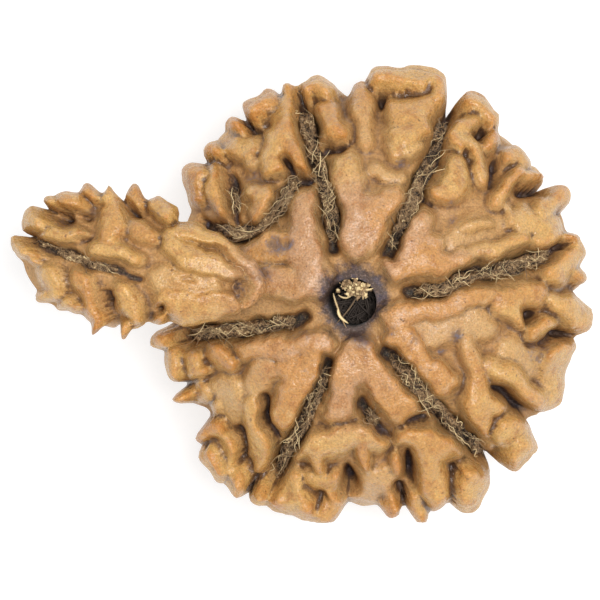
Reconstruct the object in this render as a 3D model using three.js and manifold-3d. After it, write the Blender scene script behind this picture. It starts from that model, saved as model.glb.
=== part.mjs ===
// A double rudraksha seed: a large ribbed seed with a slim one grown onto its shoulder.
// Millimetres, +Z up. The large seed stands with its stringing hole upwards, on the worn
// crests of its underside. Each seed has an egg-shaped envelope, which its lobes rise to.
// Between the lobes the surface drops to a floor, and further in the grooves between faces.
import * as THREE from 'three';
import { mergeVertices } from 'three/addons/utils/BufferGeometryUtils.js';
import Module from 'manifold-3d';

// Driving dimensions
const LARGE_RADIUS = 13.7;
const LARGE_HALF_HEIGHT = 11.2;
const REST_HEIGHT = 10.65;
const HOLE_RADIUS = 1.6;
const HOLE_INNER_RADIUS = 1.4;
const SLIM_HALF_WIDTH = 4.25;
const SLIM_HALF_HEIGHT = 3.7;
const SLIM_TAPER = 0.25;

// Places from the centre of the large seed: X to the right, Y away, Z up
const HOLE_AT = [-1.45, -0.5];
const SLIM_NOSE = [-6.25, 0.4, 10.4];
const SLIM_TAIL = [-22.1, 3.1, 4.0];
const FOOTPRINT_CENTRE = [-4.28, 0.11];

// Relief: how far the floors between lobes and the grooves between faces lie under the
// envelope, how steep the edges of lobes and of grooves are, how domed the lobes are, how
// sharply lobes that touch are parted, and how far lobes spread past their crests' widths
const LARGE_FLOOR = 1.7;
const LARGE_GROOVE = 3.2;
const SLIM_FLOOR = 1.15;
const SLIM_GROOVE = 1.7;
const LOBE_POWER = 8;
const GROOVE_POWER = 8;
const DOME = 0.18;
const BLEND_POWER = 9;
const LOBE_WIDEN = 1.13;
const RIPPLE = 0.1;
const REACH = 3.5;

// The rim of a seed as seen from above, and the share of the height that the bore reaches
const EDGE_OF_VIEW = 0.995;
const BORE_REACH = 0.85;

// How the surface is found: heights over the envelope between which each ray is followed,
// the levels between which the reliefs of the upper and lower side blend, as shares of a
// seed's half-height, the size of the disc that the rays spread from, as a share of the
// envelope's, and the share of a ray that the relief never cuts into
const MARCH_FROM = 1.9;
const MARCH_TO = -4.2;
const MARCH_STEPS = 18;
const HANDOVER = [-0.4, -0.13];
const SPREAD = 0.78;
const DEEPEST = 0.12;
const HALVINGS = 26;

// Mesh density
const LARGE_COLUMNS = 104;
const LARGE_ROWS = 40;
const BORE_ROWS = 4;
const SLIM_COLUMNS = 40;
const SLIM_ROWS = 24;
const SETTLING_ROUNDS = 8;
const SMOOTHING_ROUNDS = 1;
const SETTLING_STEP = 0.45;

// The lobes of the large seed that show from above. Each is a chain of points along its
// crest: x, y, half-width, and height over the envelope.
const LARGE_LOBES = [
  // North face, between the grooves at 68 and 111 degrees: a forked plate, then knobs
  [[-1.0, 2.9, 0.8, -0.1], [-1.35, 5.2, 0.85, 0], [-1.6, 7.0, 0.9, 0], [-1.65, 8.0, 0.7, -0.1]],
  [[-0.6, 3.2, 0.8, -0.1], [0.1, 4.7, 0.85, 0], [1.1, 5.9, 0.7, 0]],
  [[-0.5, 5.2, 0.9, -0.15]],
  [[-0.1, 7.4, 0.4, -0.9], [1.5, 7.1, 0.4, -0.9]],
  [[1.5, 8.9, 0.65, -0.35], [2.3, 8.9, 0.5, -0.5]],
  [[1.7, 9.9, 0.85, 0.0], [2.8, 10.4, 0.95, 0.1]],
  [[1.6, 11.1, 0.85, 0.15], [3.2, 11.3, 0.8, 0.25]],
  [[0.5, 13.4, 0.65, 0.7], [2.2, 13.5, 0.85, 0.8], [3.9, 13.3, 0.7, 1.1], [3.9, 12.2, 0.6, 0.6]],
  [[-2.4, 10.1, 0.85, 0.2], [-2.9, 11.2, 0.6, 0.2]],
  [[-4.2, 12.6, 0.5, 0.8], [-3.5, 12.9, 0.6, 0.8], [-2.7, 12.4, 0.45, 0.3]],
  [[-0.8, 12.6, 0.6, -0.2], [-0.6, 10.8, 0.5, -0.6], [-0.4, 9.3, 0.5, -0.9]],
  // North-east face, to the groove at 15 degrees
  [[1.4, 1.9, 0.8, -0.1], [2.3, 3.2, 0.9, 0], [2.9, 4.4, 0.6, 0]],
  [[1.6, 1.6, 0.7, -0.1], [3.4, 2.0, 0.8, 0], [5.4, 2.0, 0.45, -0.1]],
  [[3.2, 2.9, 0.9, -0.1]],
  [[5.0, 3.4, 0.9, -1.0], [7.4, 4.2, 0.8, -1.2]],
  [[7.9, 5.4, 0.25, -0.8], [8.3, 4.3, 0.35, -0.5]],
  [[5.2, 2.4, 0.45, -0.4], [7.2, 2.75, 0.45, -0.2], [8.9, 3.35, 0.4, -0.1]],
  [[5.4, 3.9, 0.25, -0.7], [6.9, 4.4, 0.3, -0.4]],
  [[3.9, 6.1, 0.55, 0], [5.0, 6.4, 0.65, 0]],
  [[4.9, 6.9, 0.85, 0], [4.9, 8.0, 0.65, 0.1]],
  [[5.1, 9.6, 0.55, 0.1], [5.8, 9.1, 0.45, 0.1], [6.4, 8.2, 0.45, 0], [6.5, 7.0, 0.5, -0.3]],
  [[5.4, 10.3, 0.4, 0.2], [6.1, 10.5, 0.4, 0.2]],
  [[6.9, 9.2, 0.45, 0.1], [7.2, 9.7, 0.4, 0.2]],
  [[5.8, 12.0, 0.65, 0.5], [6.6, 11.6, 0.65, 0.6], [7.4, 10.8, 0.45, 0.5]],
  [[4.8, 12.0, 0.4, 0.3]],
  [[8.2, 8.5, 0.6, -0.3], [9.0, 8.2, 0.5, -0.3]],
  [[7.3, 5.7, 0.35, -0.5], [8.1, 6.6, 0.3, 0.1], [8.8, 7.4, 0.25, 0.5]],
  [[9.3, 7.2, 0.35, 0], [10.2, 7.2, 0.2, 0.1]],
  [[10.6, 5.4, 0.7, 0], [11.4, 6.0, 0.8, 0.3]],
  [[9.2, 4.4, 0.9, -0.4], [11.0, 4.2, 0.6, -0.1]],
  [[9.9, 3.3, 0.5, -0.2], [11.0, 3.5, 0.5, 0]],
  // East face, to the groove at 305 degrees
  [[1.2, -1.3, 0.8, -0.1], [3.0, -1.1, 0.6, 0], [5.0, -0.5, 0.65, 0], [6.9, 0.1, 0.5, 0]],
  [[1.5, -2.3, 0.8, -0.1], [2.6, -3.7, 0.6, 0.1], [4.3, -5.3, 0.75, 0.25]],
  [[2.8, -2.3, 0.8, -0.6], [4.5, -2.0, 0.9, -0.75], [6.5, -1.7, 0.9, -0.8]],
  [[5.7, -3.0, 0.6, -0.5], [6.2, -4.8, 0.6, -0.2], [6.3, -6.8, 0.85, 0.2], [6.7, -8.0, 0.45, 0.3]],
  [[6.5, -6.4, 0.7, 0], [7.5, -6.9, 0.35, 0.1]],
  [[7.9, -0.4, 0.8, -0.1], [9.9, 0.2, 0.65, 0.1]],
  [[8.3, -0.9, 0.6, -0.1], [8.9, -1.9, 0.3, 0]],
  [[10.2, -1.8, 0.6, 0.2], [9.7, -2.4, 0.4, -0.2]],
  [[11.0, -0.3, 0.5, -0.2], [11.9, -1.0, 0.9, 0.2], [12.8, -1.4, 0.9, 0.3]],
  [[7.2, -4.3, 0.6, -0.3], [8.3, -4.9, 0.6, 0.15], [10.0, -6.4, 0.55, 0.35]],
  [[11.4, -3.3, 0.75, -0.1], [10.9, -4.8, 0.85, -0.6], [10.9, -6.3, 0.75, -0.2]],
  [[8.3, -3.4, 0.9, -1.0], [9.6, -4.0, 0.9, -1.1]],
  [[8.4, -8.5, 1.1, 0.4]],
  [[9.3, -9.3, 0.8, 1.0], [8.6, -10.2, 0.7, 1.15]],
  [[11.1, 1.5, 0.9, 0], [12.0, 2.3, 0.6, 0.1], [12.8, 2.8, 0.4, 0.2]],
  [[12.0, 3.4, 0.35, 0.1], [12.4, 3.3, 0.35, 0.2]],
  [[12.5, 1.2, 0.5, -0.1]],
  // South face, to the groove at 240 degrees
  [[-1.3, -3.4, 0.8, -0.1], [-1.9, -5.5, 0.85, 0], [-2.1, -6.9, 0.85, 0]],
  [[-0.8, -3.4, 0.8, -0.1], [0.4, -5.3, 0.8, 0], [1.7, -6.9, 0.8, 0]],
  [[-0.8, -4.6, 0.9, -0.05]],
  [[1.6, -8.6, 0.5, 0.1], [3.2, -8.8, 0.85, 0.3], [4.4, -9.4, 0.75, 0.35]],
  [[3.4, -9.6, 0.95, 0.3], [3.5, -11.1, 0.9, 0.6], [4.0, -12.5, 0.65, 1.3]],
  [[-4.1, -9.2, 0.75, 0.3], [-2.9, -8.9, 0.8, 0.3], [-1.3, -8.6, 0.75, 0.25], [0.1, -8.7, 0.6, 0.1]],
  [[-3.6, -9.6, 0.6, 0.3], [-3.2, -10.5, 0.3, 0.3]],
  [[-0.6, -9.2, 0.5, 0.2], [-0.5, -10.4, 0.25, 0.2]],
  [[1.25, -9.7, 0.25, -0.3], [1.6, -10.9, 0.2, 0]],
  [[-5.0, -11.3, 0.7, 0.1], [-4.9, -12.5, 0.95, 1.3]],
  [[-3.8, -11.4, 0.6, -0.2], [-2.2, -11.2, 0.55, -0.1]],
  [[-5.9, -12.7, 0.65, 1.4]],
  [[-7.0, -12.5, 0.6, 1.9]],
  [[-4.2, -13.4, 0.65, 1.6]],
  [[-2.5, -12.6, 0.8, 0.2], [-3.1, -13.5, 0.7, 1.15]],
  [[0.2, -11.6, 1.2, -0.8], [-0.6, -12.4, 0.9, -0.8]],
  [[0.9, -12.6, 0.5, 0.1], [1.2, -13.3, 0.5, 0.9]],
  [[2.6, -12.6, 0.6, 0.4], [2.95, -13.6, 0.5, 1.35]],
  [[1.0, -10.8, 0.6, -0.8], [1.1, -12.2, 0.5, -0.4]],
  [[6.0, -11.6, 1.15, 1.0], [5.7, -12.6, 0.85, 1.4]],
  [[6.5, -10.9, 0.5, 0.4]],
  // South-west face, to the groove at 194 degrees
  [[-3.2, -2.9, 0.7, -0.1], [-5.5, -3.2, 0.65, 0], [-7.6, -3.3, 0.65, 0]],
  [[-3.6, -3.6, 0.7, -0.1], [-4.7, -5.6, 0.85, 0.1], [-5.5, -7.4, 0.8, 0.3]],
  [[-5.0, -4.3, 0.9, -0.1]],
  [[-6.5, -4.6, 0.8, -0.4], [-7.2, -5.6, 0.7, -0.4]],
  [[-7.4, -6.5, 0.5, -0.2], [-7.0, -8.6, 0.7, 0.1], [-6.8, -9.6, 0.75, 0.2], [-7.0, -10.7, 0.45, 0.2]],
  [[-9.2, -8.7, 0.6, 0.2], [-8.9, -9.8, 0.75, 0.5], [-8.6, -11.0, 0.75, 1.1], [-8.4, -12.0, 0.6, 1.9]],
  [[-9.6, -8.2, 0.55, 0.4], [-10.4, -8.7, 0.4, 0.9]],
  [[-10.2, -9.9, 0.6, 1.4], [-9.6, -11.0, 0.55, 1.8]],
  [[-8.8, -5.7, 0.9, -0.6], [-8.4, -7.0, 0.7, -0.7]],
  [[-9.6, -3.6, 0.65, 0.3], [-8.9, -3.9, 0.6, 0.2]],
  [[-11.0, -3.6, 0.5, 0.3], [-10.9, -4.6, 0.45, 0.3], [-10.3, -4.8, 0.35, 0.2]],
  [[-12.1, -3.6, 0.55, 0.7], [-12.1, -4.7, 0.55, 1.0]],
  [[-12.9, -2.8, 0.55, 1.0]],
  [[-11.3, -6.0, 0.4, 0.4], [-12.1, -6.4, 0.3, 1.5]],
  [[-10.5, -5.9, 0.7, -0.4]],
  [[-9.4, -6.9, 0.5, -0.4]],
  // West face, half under the slim seed, to the groove at 156 degrees
  [[-3.5, 0.6, 0.9, -0.2], [-4.3, 2.6, 1.0, -0.1], [-4.3, 4.4, 0.9, 0], [-4.2, 5.6, 0.7, 0.05]],
  [[-4.3, 0.6, 0.9, -0.2], [-6.0, 0.8, 1.0, -0.3], [-8.0, 0.6, 0.9, -0.5]],
  [[-5.4, 3.0, 0.9, -0.25], [-7.2, 2.5, 0.8, -0.4]],
  [[-9.5, 1.0, 1.0, -0.5], [-11.0, 0.0, 1.0, -0.4]],
  // North-west face, to the groove at 111 degrees
  [[-5.5, 10.4, 0.75, 0.1], [-5.3, 11.7, 0.55, 0.4]],
  [[-5.3, 9.8, 0.9, 0.3], [-4.8, 8.7, 0.65, 0.3], [-4.4, 7.8, 0.5, 0.3]],
  [[-5.9, 9.4, 0.8, 0.3], [-6.2, 8.3, 0.65, 0.25], [-6.05, 7.5, 0.5, 0.2]],
  [[-5.2, 12.6, 0.45, 0.9]],
  [[-6.5, 11.9, 0.75, 0.9], [-7.4, 11.4, 0.65, 1.1]],
  [[-8.2, 10.1, 0.4, 0.4], [-8.7, 10.4, 0.4, 1.1]],
  [[-8.8, 9.2, 0.7, 0], [-7.8, 9.0, 0.8, -0.1]],
  [[-7.4, 8.1, 0.45, -0.6]],
  [[-9.9, 8.9, 0.55, 0.8]],
  [[-11.0, 7.5, 0.65, 0.9], [-10.8, 6.2, 0.6, 0.1]],
  [[-9.8, 7.6, 0.5, 0], [-9.7, 6.2, 0.45, 0], [-9.2, 5.0, 0.35, -0.2]],
  [[-7.4, 6.3, 0.5, 0], [-6.5, 6.1, 0.5, 0]],
  [[-6.9, 5.8, 0.6, 0.05], [-7.1, 4.5, 0.3, -0.1]],
];

// The grooves between its faces, from the hole outwards: x, y, half-width at each point
const LARGE_GROOVES = [
  [[-2.35, 2.9, 0.5], [-2.6, 5.0, 0.55], [-3.15, 7.0, 0.5], [-3.7, 9.0, 0.5], [-4.2, 11.0, 0.5],
    [-4.7, 12.3, 0.4, 0.25]],
  [[0.8, 2.6, 0.45], [1.7, 4.2, 0.45], [2.5, 6.0, 0.5], [3.4, 8.0, 0.55], [4.1, 10.0, 0.5],
    [4.5, 11.6, 0.4, 0.2]],
  [[2.1, 0.0, 0.45], [4.0, 0.35, 0.45], [6.2, 1.3, 0.5], [8.6, 1.7, 0.6], [10.3, 2.4, 0.5],
    [11.6, 3.1, 0.35, 0.3]],
  [[0.8, -3.3, 0.5], [1.8, -4.5, 0.55], [3.2, -6.3, 0.6], [4.8, -7.9, 0.55], [6.2, -9.3, 0.5],
    [7.2, -10.3, 0.4, 0.5]],
  [[-2.7, -4.0, 0.45], [-3.3, -5.8, 0.45], [-4.2, -7.7, 0.45], [-5.2, -9.5, 0.45],
    [-5.9, -10.7, 0.4, 0.8], [-6.6, -11.8, 0.3, 0.1]],
  [[-4.4, -1.45, 0.5], [-6.5, -1.9, 0.5], [-9.0, -2.2, 0.5], [-11.0, -2.4, 0.45],
    [-12.2, -2.2, 0.3, 0.2]],
  [[-4.0, 6.9, 0.35], [-4.8, 6.8, 0.4], [-5.6, 5.4, 0.5], [-6.8, 4.1, 0.5], [-8.4, 3.6, 0.5],
    [-10.3, 4.4, 0.4]],
];

// Short side grooves and dark pits between lobes: a chain of points, then the depth
const LARGE_PITS = [
  [1.6, [-3.0, 8.5, 0.3], [-1.8, 9.1, 0.25]],
  [1.4, [-4.9, 7.1, 0.25], [-5.3, 8.0, 0.2]],
  [1.4, [3.0, -7.3, 0.3], [1.8, -8.0, 0.2]],
  [1.2, [2.8, 5.7, 0.3], [3.3, 5.5, 0.25]],
  [1.6, [-6.7, -6.2, 0.25], [-6.6, -7.4, 0.25], [-5.8, -8.6, 0.3]],
  [1.3, [0.5, 11.9, 0.3], [0.5, 11.2, 0.2]],
  [1.3, [6.0, 9.8, 0.2], [6.5, 9.3, 0.25]],
  [0.8, [5.6, 8.6, 0.2], [6.0, 7.8, 0.2]],
  [2.4, [9.0, 6.1, 0.4], [10.3, 6.5, 0.35]],
  [0.8, [11.2, 5.0, 0.25]],
  [0.5, [5.3, 11.1, 0.12], [6.4, 10.9, 0.12], [7.6, 9.9, 0.12]],
  [2.0, [10.7, -2.8, 0.4], [11.3, -2.55, 0.35]],
  [0.9, [9.3, -2.9, 0.2], [10.4, -3.0, 0.25]],
  [1.2, [9.4, -1.3, 0.3]],
  [2.2, [7.3, -5.5, 0.25], [8.5, -6.6, 0.35], [9.9, -7.6, 0.35]],
  [1.3, [-0.7, -6.7, 0.42], [0.5, -8.3, 0.3]],
  [1.3, [1.5, -11.5, 0.25], [1.75, -12.3, 0.3]],
  [0.7, [2.0, -9.7, 0.25], [2.3, -11.2, 0.3]],
  [1.4, [-1.4, -10.7, 0.25], [-1.3, -11.7, 0.3]],
  [1.0, [-2.9, -12.3, 0.3]],
  [1.4, [5.1, -10.8, 0.35]],
  [0.5, [7.3, -8.0, 0.12], [7.4, -9.6, 0.12]],
  [0.4, [-3.4, 9.7, 0.12], [-2.0, 9.7, 0.12]],
  [1.4, [-8.2, -8.2, 0.3], [-7.9, -9.2, 0.25]],
  [0.6, [-7.4, 10.8, 0.2], [-7.0, 10.6, 0.2]],
  [1.3, [-8.6, 6.7, 0.42], [-8.3, 5.6, 0.2], [-8.1, 4.4, 0.25]],
  [0.3, [-6.2, 3.0, 0.35], [-5.5, 3.0, 0.4]],
  [1.0, [12.35, 0.15, 0.25]],
];

// The lobes of the slim seed that show from above
const SLIM_LOBES = [
  // The smooth pointed leaf at its nose, with two tongues lying on it
  [[-12.3, 3.6, 0.45, 0.1], [-10.8, 3.8, 0.45, 0.1], [-9.0, 3.0, 0.42, 0.1], [-7.3, 1.7, 0.42, 0.1]],
  [[-7.3, 1.7, 0.42, 0.1], [-6.6, 0.5, 0.45, 0.1], [-7.3, -0.6, 0.45, 0.05]],
  [[-12.5, -0.4, 0.7, 0], [-10.5, -0.7, 0.9, 0.1], [-8.5, -0.6, 0.6, 0.1]],
  [[-11.5, -1.5, 0.5, 0], [-9.5, -1.3, 0.5, 0]],
  [[-12.2, 3.1, 0.5, 0.2], [-11.4, 2.3, 0.7, 0.5], [-9.8, 1.7, 0.55, 0.55], [-8.3, 1.25, 0.42, 0.5]],
  [[-12.5, 0.9, 0.8, -0.3], [-10.0, 0.4, 0.8, -0.3]],
  // Knobs and ridges behind it
  [[-14.3, 5.9, 0.57, 0.4], [-14.3, 6.5, 0.3, 0.8]],
  [[-13.1, 5.6, 0.48, 0.9], [-12.4, 4.8, 0.48, 0.7]],
  [[-15.9, 5.3, 0.61, 0.2], [-15.7, 4.0, 0.61, 0.1], [-15.9, 3.4, 0.52, 0.1]],
  [[-16.8, 2.9, 0.39, 0.2], [-15.2, 2.5, 0.43, 0.3], [-14.2, 2.2, 0.35, 0.2]],
  [[-14.2, 4.0, 0.7, -0.3], [-13.4, 3.6, 0.43, -0.2]],
  [[-16.2, 6.0, 0.39, 0.5], [-16.0, 6.5, 0.26, 0.7]],
  [[-17.3, 6.3, 0.48, 0.9]],
  [[-18.7, 5.8, 0.48, 0.8], [-17.8, 5.5, 0.48, 0.6]],
  [[-19.5, 5.9, 0.3, 0.9]],
  [[-20.6, 4.6, 0.61, 0.7]],
  [[-19.8, 3.8, 0.39, 0.1], [-18.8, 3.6, 0.43, 0.1], [-17.6, 3.7, 0.35, 0]],
  [[-21.5, 3.1, 0.39, 0.6], [-21.3, 2.4, 0.35, 0.5]],
  [[-20.6, 2.3, 0.43, 0.1]],
  [[-19.6, 1.3, 0.7, 0.1], [-19.3, 0.3, 0.52, 0.1]],
  [[-20.0, -0.1, 0.35, 0.1]],
  [[-18.6, -0.6, 0.43, 0], [-18.1, -0.8, 0.35, 0.2]],
  [[-17.6, 1.0, 0.52, 0.1], [-17.0, -0.4, 0.48, 0.2], [-16.8, -1.5, 0.35, 0.8], [-17.0, -2.2, 0.17, 1.4]],
  [[-15.2, 0.2, 0.52, 0.1], [-14.6, -0.6, 0.61, 0.1], [-14.2, -1.3, 0.35, 0.5]],
  [[-14.8, -1.8, 0.3, 0.7], [-15.1, -2.4, 0.17, 1.4]],
  [[-12.9, -1.5, 0.43, 0.4]],
];

const SLIM_GROOVES = [
  [[-21.2, 3.5, 0.3, 0.6], [-19.6, 2.9, 0.35], [-18.4, 2.4, 0.35], [-17.0, 1.9, 0.3], [-15.5, 1.4, 0.3],
    [-14.0, 1.0, 0.3]],
];

const SLIM_PITS = [
  [1.2, [-7.8, 0.35, 0.36]],
  [0.6, [-10.4, 3.1, 0.15], [-8.8, 2.2, 0.18]],
  [0.25, [-11.5, 1.0, 0.14], [-10.9, 0.9, 0.12]],
  [0.5, [-14.4, 4.9, 0.3]],
  [0.9, [-18.5, 4.3, 0.25], [-19.0, 4.5, 0.2]],
  [1.0, [-17.2, 4.9, 0.3]],
  [0.7, [-19.4, 5.0, 0.15]],
  [1.2, [-16.1, 0.1, 0.2], [-15.9, -0.6, 0.25], [-15.8, -1.5, 0.3]],
  [0.9, [-12.9, -1.0, 0.25]],
];

// The undersides, by rule: shares of the way down from the rim, and across each face
const KNOB_TIERS = [0.2, 0.34, 0.47, 0.58];
const KNOB_SPACING = 3.3;
const KNOB_TOP = -0.2;
const KNOB_WIDTH = 0.9;
const KNOB_DRAWS = { across: 0.12, width: 0.15, top: 0.3, down: 0.03, lean: 0.04, bend: 0.09 };
const KNOB_LENGTH = 0.05;
const KNOB_TAPER = 0.85;
const PLATE_FORK = 0.67;
const PLATE_NECK = 0.88;
const PLATE_TIPS = [0.27, 0.73];
const PLATE_WIDTHS = [0.9, 0.8];
const UNDER_GROOVE_STEPS = [0, 0.2, 0.4, 0.6, 0.8, 0.93];
const UNDER_GROOVE_WIDTH = 0.5;
const SLIM_TIERS = [-66, -44, -22, 0, 22, 44];
const SLIM_ROLLS = [196, 233, 270, 307, 344];
const SLIM_ROLL_SHIFT = 8;
const SLIM_KNOB_TOP = -0.2;
const SLIM_KNOB_WIDTH = 0.75;
const SLIM_KNOB_TAPER = 0.9;
const SLIM_KNOB_DRAWS = { tier: 4, roll: 5, width: 0.15, top: 0.25, along: 0.12, around: 0.2 };
const RANDOM_SEED = 11;

const { lerp, clamp, degToRad } = THREE.MathUtils;

// A knob's repeatable draws, one for each name in the reaches, from -reach to reach
function draws(number, reaches) {
  return Object.fromEntries(Object.entries(reaches).map(([name, reach], i) => {
    const wave = Math.sin((number + 300 * i + RANDOM_SEED) * 12.9898) * 43758.5453;
    return [name, (wave - Math.floor(wave) - 0.5) * 2 * reach];
  }));
}

const between = (a, b, share) => new THREE.Vector3().lerpVectors(a, b, share).normalize();

// Eases from 0 at the low end to 1 at the high end
const easeBetween = (value, [low, high]) => THREE.MathUtils.smoothstep(value, low, high);

// Slow waves, so that no plate or knob is quite smooth
function ripple({ x, y, z }) {
  const waves = Math.sin(1.9 * x + 0.7 * y) * Math.sin(1.7 * y - 1.3 * z);
  return RIPPLE * (waves + 0.6 * Math.sin(2.3 * z + 1.1 * x));
}

// Points along a lobe's crest or a groove's bed, in the plane seen from above or in space
class Chain {
  constructor(points) {
    this.points = points;
    const total = points.reduce((sum, { at }) => sum.add(at), points[0].at.clone().multiplyScalar(0));
    this.middle = total.divideScalar(points.length);
    const spread = Math.max(...points.map(({ at }) => at.distanceTo(this.middle)));
    this.reach = spread + REACH * Math.max(...points.map(({ width }) => width));
  }

  // How high the chain stands over a place: its own height along the crest, about half of
  // that at its half-width, and next to nothing beyond its reach
  over(place, power, heightOf) {
    if (place.distanceToSquared(this.middle) > this.reach ** 2) return 0;
    let highest = 0;
    for (let i = 0; i < Math.max(1, this.points.length - 1); i += 1) {
      const from = this.points[i];
      const to = this.points[Math.min(i + 1, this.points.length - 1)];
      const along = to.at.clone().sub(from.at);
      const offset = place.clone().sub(from.at);
      const share = along.lengthSq() ? clamp(offset.dot(along) / along.lengthSq(), 0, 1) : 0;
      const away = offset.addScaledVector(along, -share).length() / lerp(from.width, to.width, share);
      const height = heightOf(lerp(from.top, to.top, share));
      highest = Math.max(highest, height / (1 + DOME * away ** 2 + away ** power));
    }
    return highest;
  }
}

// Lobes, grooves and pits, and how they blend into one height over the envelope
class Relief {
  constructor(floor, groove) {
    this.floor = floor;
    this.groove = groove;
    this.lobes = [];
    this.grooves = [];
    this.pits = [];
  }

  // Adds what shows from above, in the plane seen from above
  addDrawn(lobes, grooves, pits) {
    const chain = (points, widen, usual) => new Chain(points.map(([x, y, width, top = usual]) => (
      { at: new THREE.Vector2(x, y), width: width * widen, top }
    )));
    this.lobes.push(...lobes.map((points) => chain(points, LOBE_WIDEN, 0)));
    this.grooves.push(...grooves.map((points) => chain(points, 1, 1)));
    this.pits.push(...pits.map(([depth, ...points]) => chain(points, 1, depth)));
    return this;
  }

  // Height over the envelope. The lobes' heights over the floor are blended by a power mean,
  // the pits are taken off, and the grooves pull what is left down to their depth.
  over(place) {
    const raised = (sum, chain) => {
      const height = chain.over(place, LOBE_POWER, (top) => this.floor + top);
      return sum + height ** BLEND_POWER;
    };
    const blend = this.lobes.reduce(raised, 0) ** (1 / BLEND_POWER);
    const sunk = this.pits.reduce((sum, chain) => sum + chain.over(place, GROOVE_POWER, (depth) => depth), 0);
    const height = blend - this.floor - sunk;
    const cuts = this.grooves.map((chain) => chain.over(place, GROOVE_POWER, (share) => share));
    const cut = Math.max(0, ...cuts);
    return lerp(height, Math.min(height, -this.groove), cut);
  }
}

// One seed. Its directions are unit vectors in the seed's own frame, with the envelope
// squeezed to a unit sphere.
class Seed {
  constructor({ centre, heading, tilt, semiAxes, taper, upper, lower }) {
    Object.assign(this, { centre, heading, tilt, semiAxes, taper, upper, lower });
    this.turn = new THREE.Quaternion().setFromEuler(new THREE.Euler(0, -tilt, heading, 'ZYX'));
  }

  // The envelope's point in a direction. It is thinner towards +X where the seed tapers.
  envelope({ x, y, z }) {
    const thin = 1 - this.taper * x;
    return new THREE.Vector3(x, y * thin, z * thin).multiply(this.semiAxes);
  }

  // The point on a direction's ray at a share of the way out to the envelope. The rays don't
  // start from one centre but spread from a flat disc, so that they stand steeper.
  place(direction, share) {
    const level = lerp(SPREAD, 1, share);
    return this.envelope(direction).multiply(new THREE.Vector3(level, level, share));
  }

  // A point scaled back, so that one at the given share of its ray gets a length of 1
  unplaced(point, share) {
    const level = lerp(SPREAD, 1, share);
    const { x, y, z } = point.clone().divide(this.semiAxes).divide(new THREE.Vector3(level, level, share));
    const thin = Math.max(1 - this.taper * x, 0.1);
    return new THREE.Vector3(x, y / thin, z / thin);
  }

  // The direction whose ray a point lies on, by halving
  directionOf(point) {
    let low = 1e-9;
    let high = 2;
    for (let halving = 0; halving < HALVINGS; halving += 1) {
      const share = (low + high) / 2;
      if (this.unplaced(point, share).lengthSq() > 1) low = share;
      else high = share;
    }
    return this.unplaced(point, (low + high) / 2).normalize();
  }

  // The direction of the place on the upright envelope that shows at (x, y) from above
  directionSeenAt(x, y) {
    const flat = new THREE.Vector2(x / this.semiAxes.x, y / this.semiAxes.y).clampLength(0, EDGE_OF_VIEW);
    return new THREE.Vector3(flat.x, flat.y, Math.sqrt(1 - flat.lengthSq()));
  }

  // A chain on the envelope from rows of direction, half-width and top
  chain(points) {
    return new Chain(points.map(([direction, width, top]) => ({ at: this.envelope(direction), width, top })));
  }

  // The surface's point in a direction. Its ray is followed inwards to the first place whose
  // height over the envelope is no more than the relief there. The upper relief is drawn as
  // seen from above and is read at that place, and the lower one belongs to the direction.
  surface(direction) {
    const envelope = this.envelope(direction);
    const ray = envelope.clone().sub(this.place(direction, 0)).length();
    const upper = easeBetween(direction.z, HANDOVER);
    const below = upper < 1 ? this.lower.over(envelope) : 0;
    const waves = ripple(envelope);
    const placeAt = (height) => this.place(direction, Math.max(1 + height / ray, DEEPEST));
    const lack = (height) => {
      const seen = placeAt(height).applyQuaternion(this.turn).add(this.centre);
      const drawn = upper > 0 ? this.upper.over(new THREE.Vector2(seen.x, seen.y)) : 0;
      return height - waves - lerp(below, drawn, upper);
    };
    let outer = MARCH_FROM;
    let lackOuter = lack(outer);
    for (let step = 1; step <= MARCH_STEPS; step += 1) {
      const level = lerp(MARCH_FROM, MARCH_TO, step / MARCH_STEPS);
      const lackLevel = lack(level);
      if (lackLevel <= 0) {
        return placeAt(lerp(outer, level, lackOuter / (lackOuter - lackLevel)));
      }
      outer = level;
      lackOuter = lackLevel;
    }
    return placeAt(MARCH_TO);
  }

  // Carries a mesh of the unit sphere out to the surface. Points off the sphere are a bore's,
  // which keep their place. Then each point settles towards the middle of its neighbours, so
  // that the points close up on the steep sides of the lobes.
  shape(sphere) {
    const position = sphere.getAttribute('position');
    const { count } = position;
    const points = Array.from({ length: count }, (_, i) => (
      new THREE.Vector3().fromBufferAttribute(position, i)
    ));
    const bore = points.map((point) => point.length() < 0.999);
    const placed = points.map((point, i) => (
      bore[i] ? point.clone().multiply(this.semiAxes) : this.surface(point)
    ));
    const neighbours = neighboursOf(sphere);
    const held = points.map((_, i) => bore[i] || neighbours[i].some((other) => bore[other]));
    const settle = (carryOut) => {
      const middles = neighbours.map((others) => middleOf(others.map((other) => placed[other])));
      middles.forEach((middle, i) => {
        if (!held[i]) placed[i] = carryOut(placed[i].clone().lerp(middle, SETTLING_STEP));
      });
    };
    for (let round = 0; round < SETTLING_ROUNDS; round += 1) {
      settle((point) => this.surface(this.directionOf(point)));
    }
    for (let round = 0; round < SMOOTHING_ROUNDS; round += 1) settle((point) => point);
    placed.forEach((point, i) => position.setXYZ(i, ...point));
    return sphere.applyQuaternion(this.turn).translate(...this.centre);
  }
}

function neighboursOf(geometry) {
  const neighbours = Array.from({ length: geometry.getAttribute('position').count }, () => new Set());
  const corners = geometry.getIndex().array;
  for (let i = 0; i < corners.length; i += 3) {
    for (let side = 0; side < 3; side += 1) {
      neighbours[corners[i + side]].add(corners[i + (side + 1) % 3]);
      neighbours[corners[i + (side + 1) % 3]].add(corners[i + side]);
    }
  }
  return neighbours.map((set) => [...set]);
}

function middleOf(points) {
  const total = points.reduce((sum, point) => sum.add(point), new THREE.Vector3());
  return total.divideScalar(points.length);
}

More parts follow.
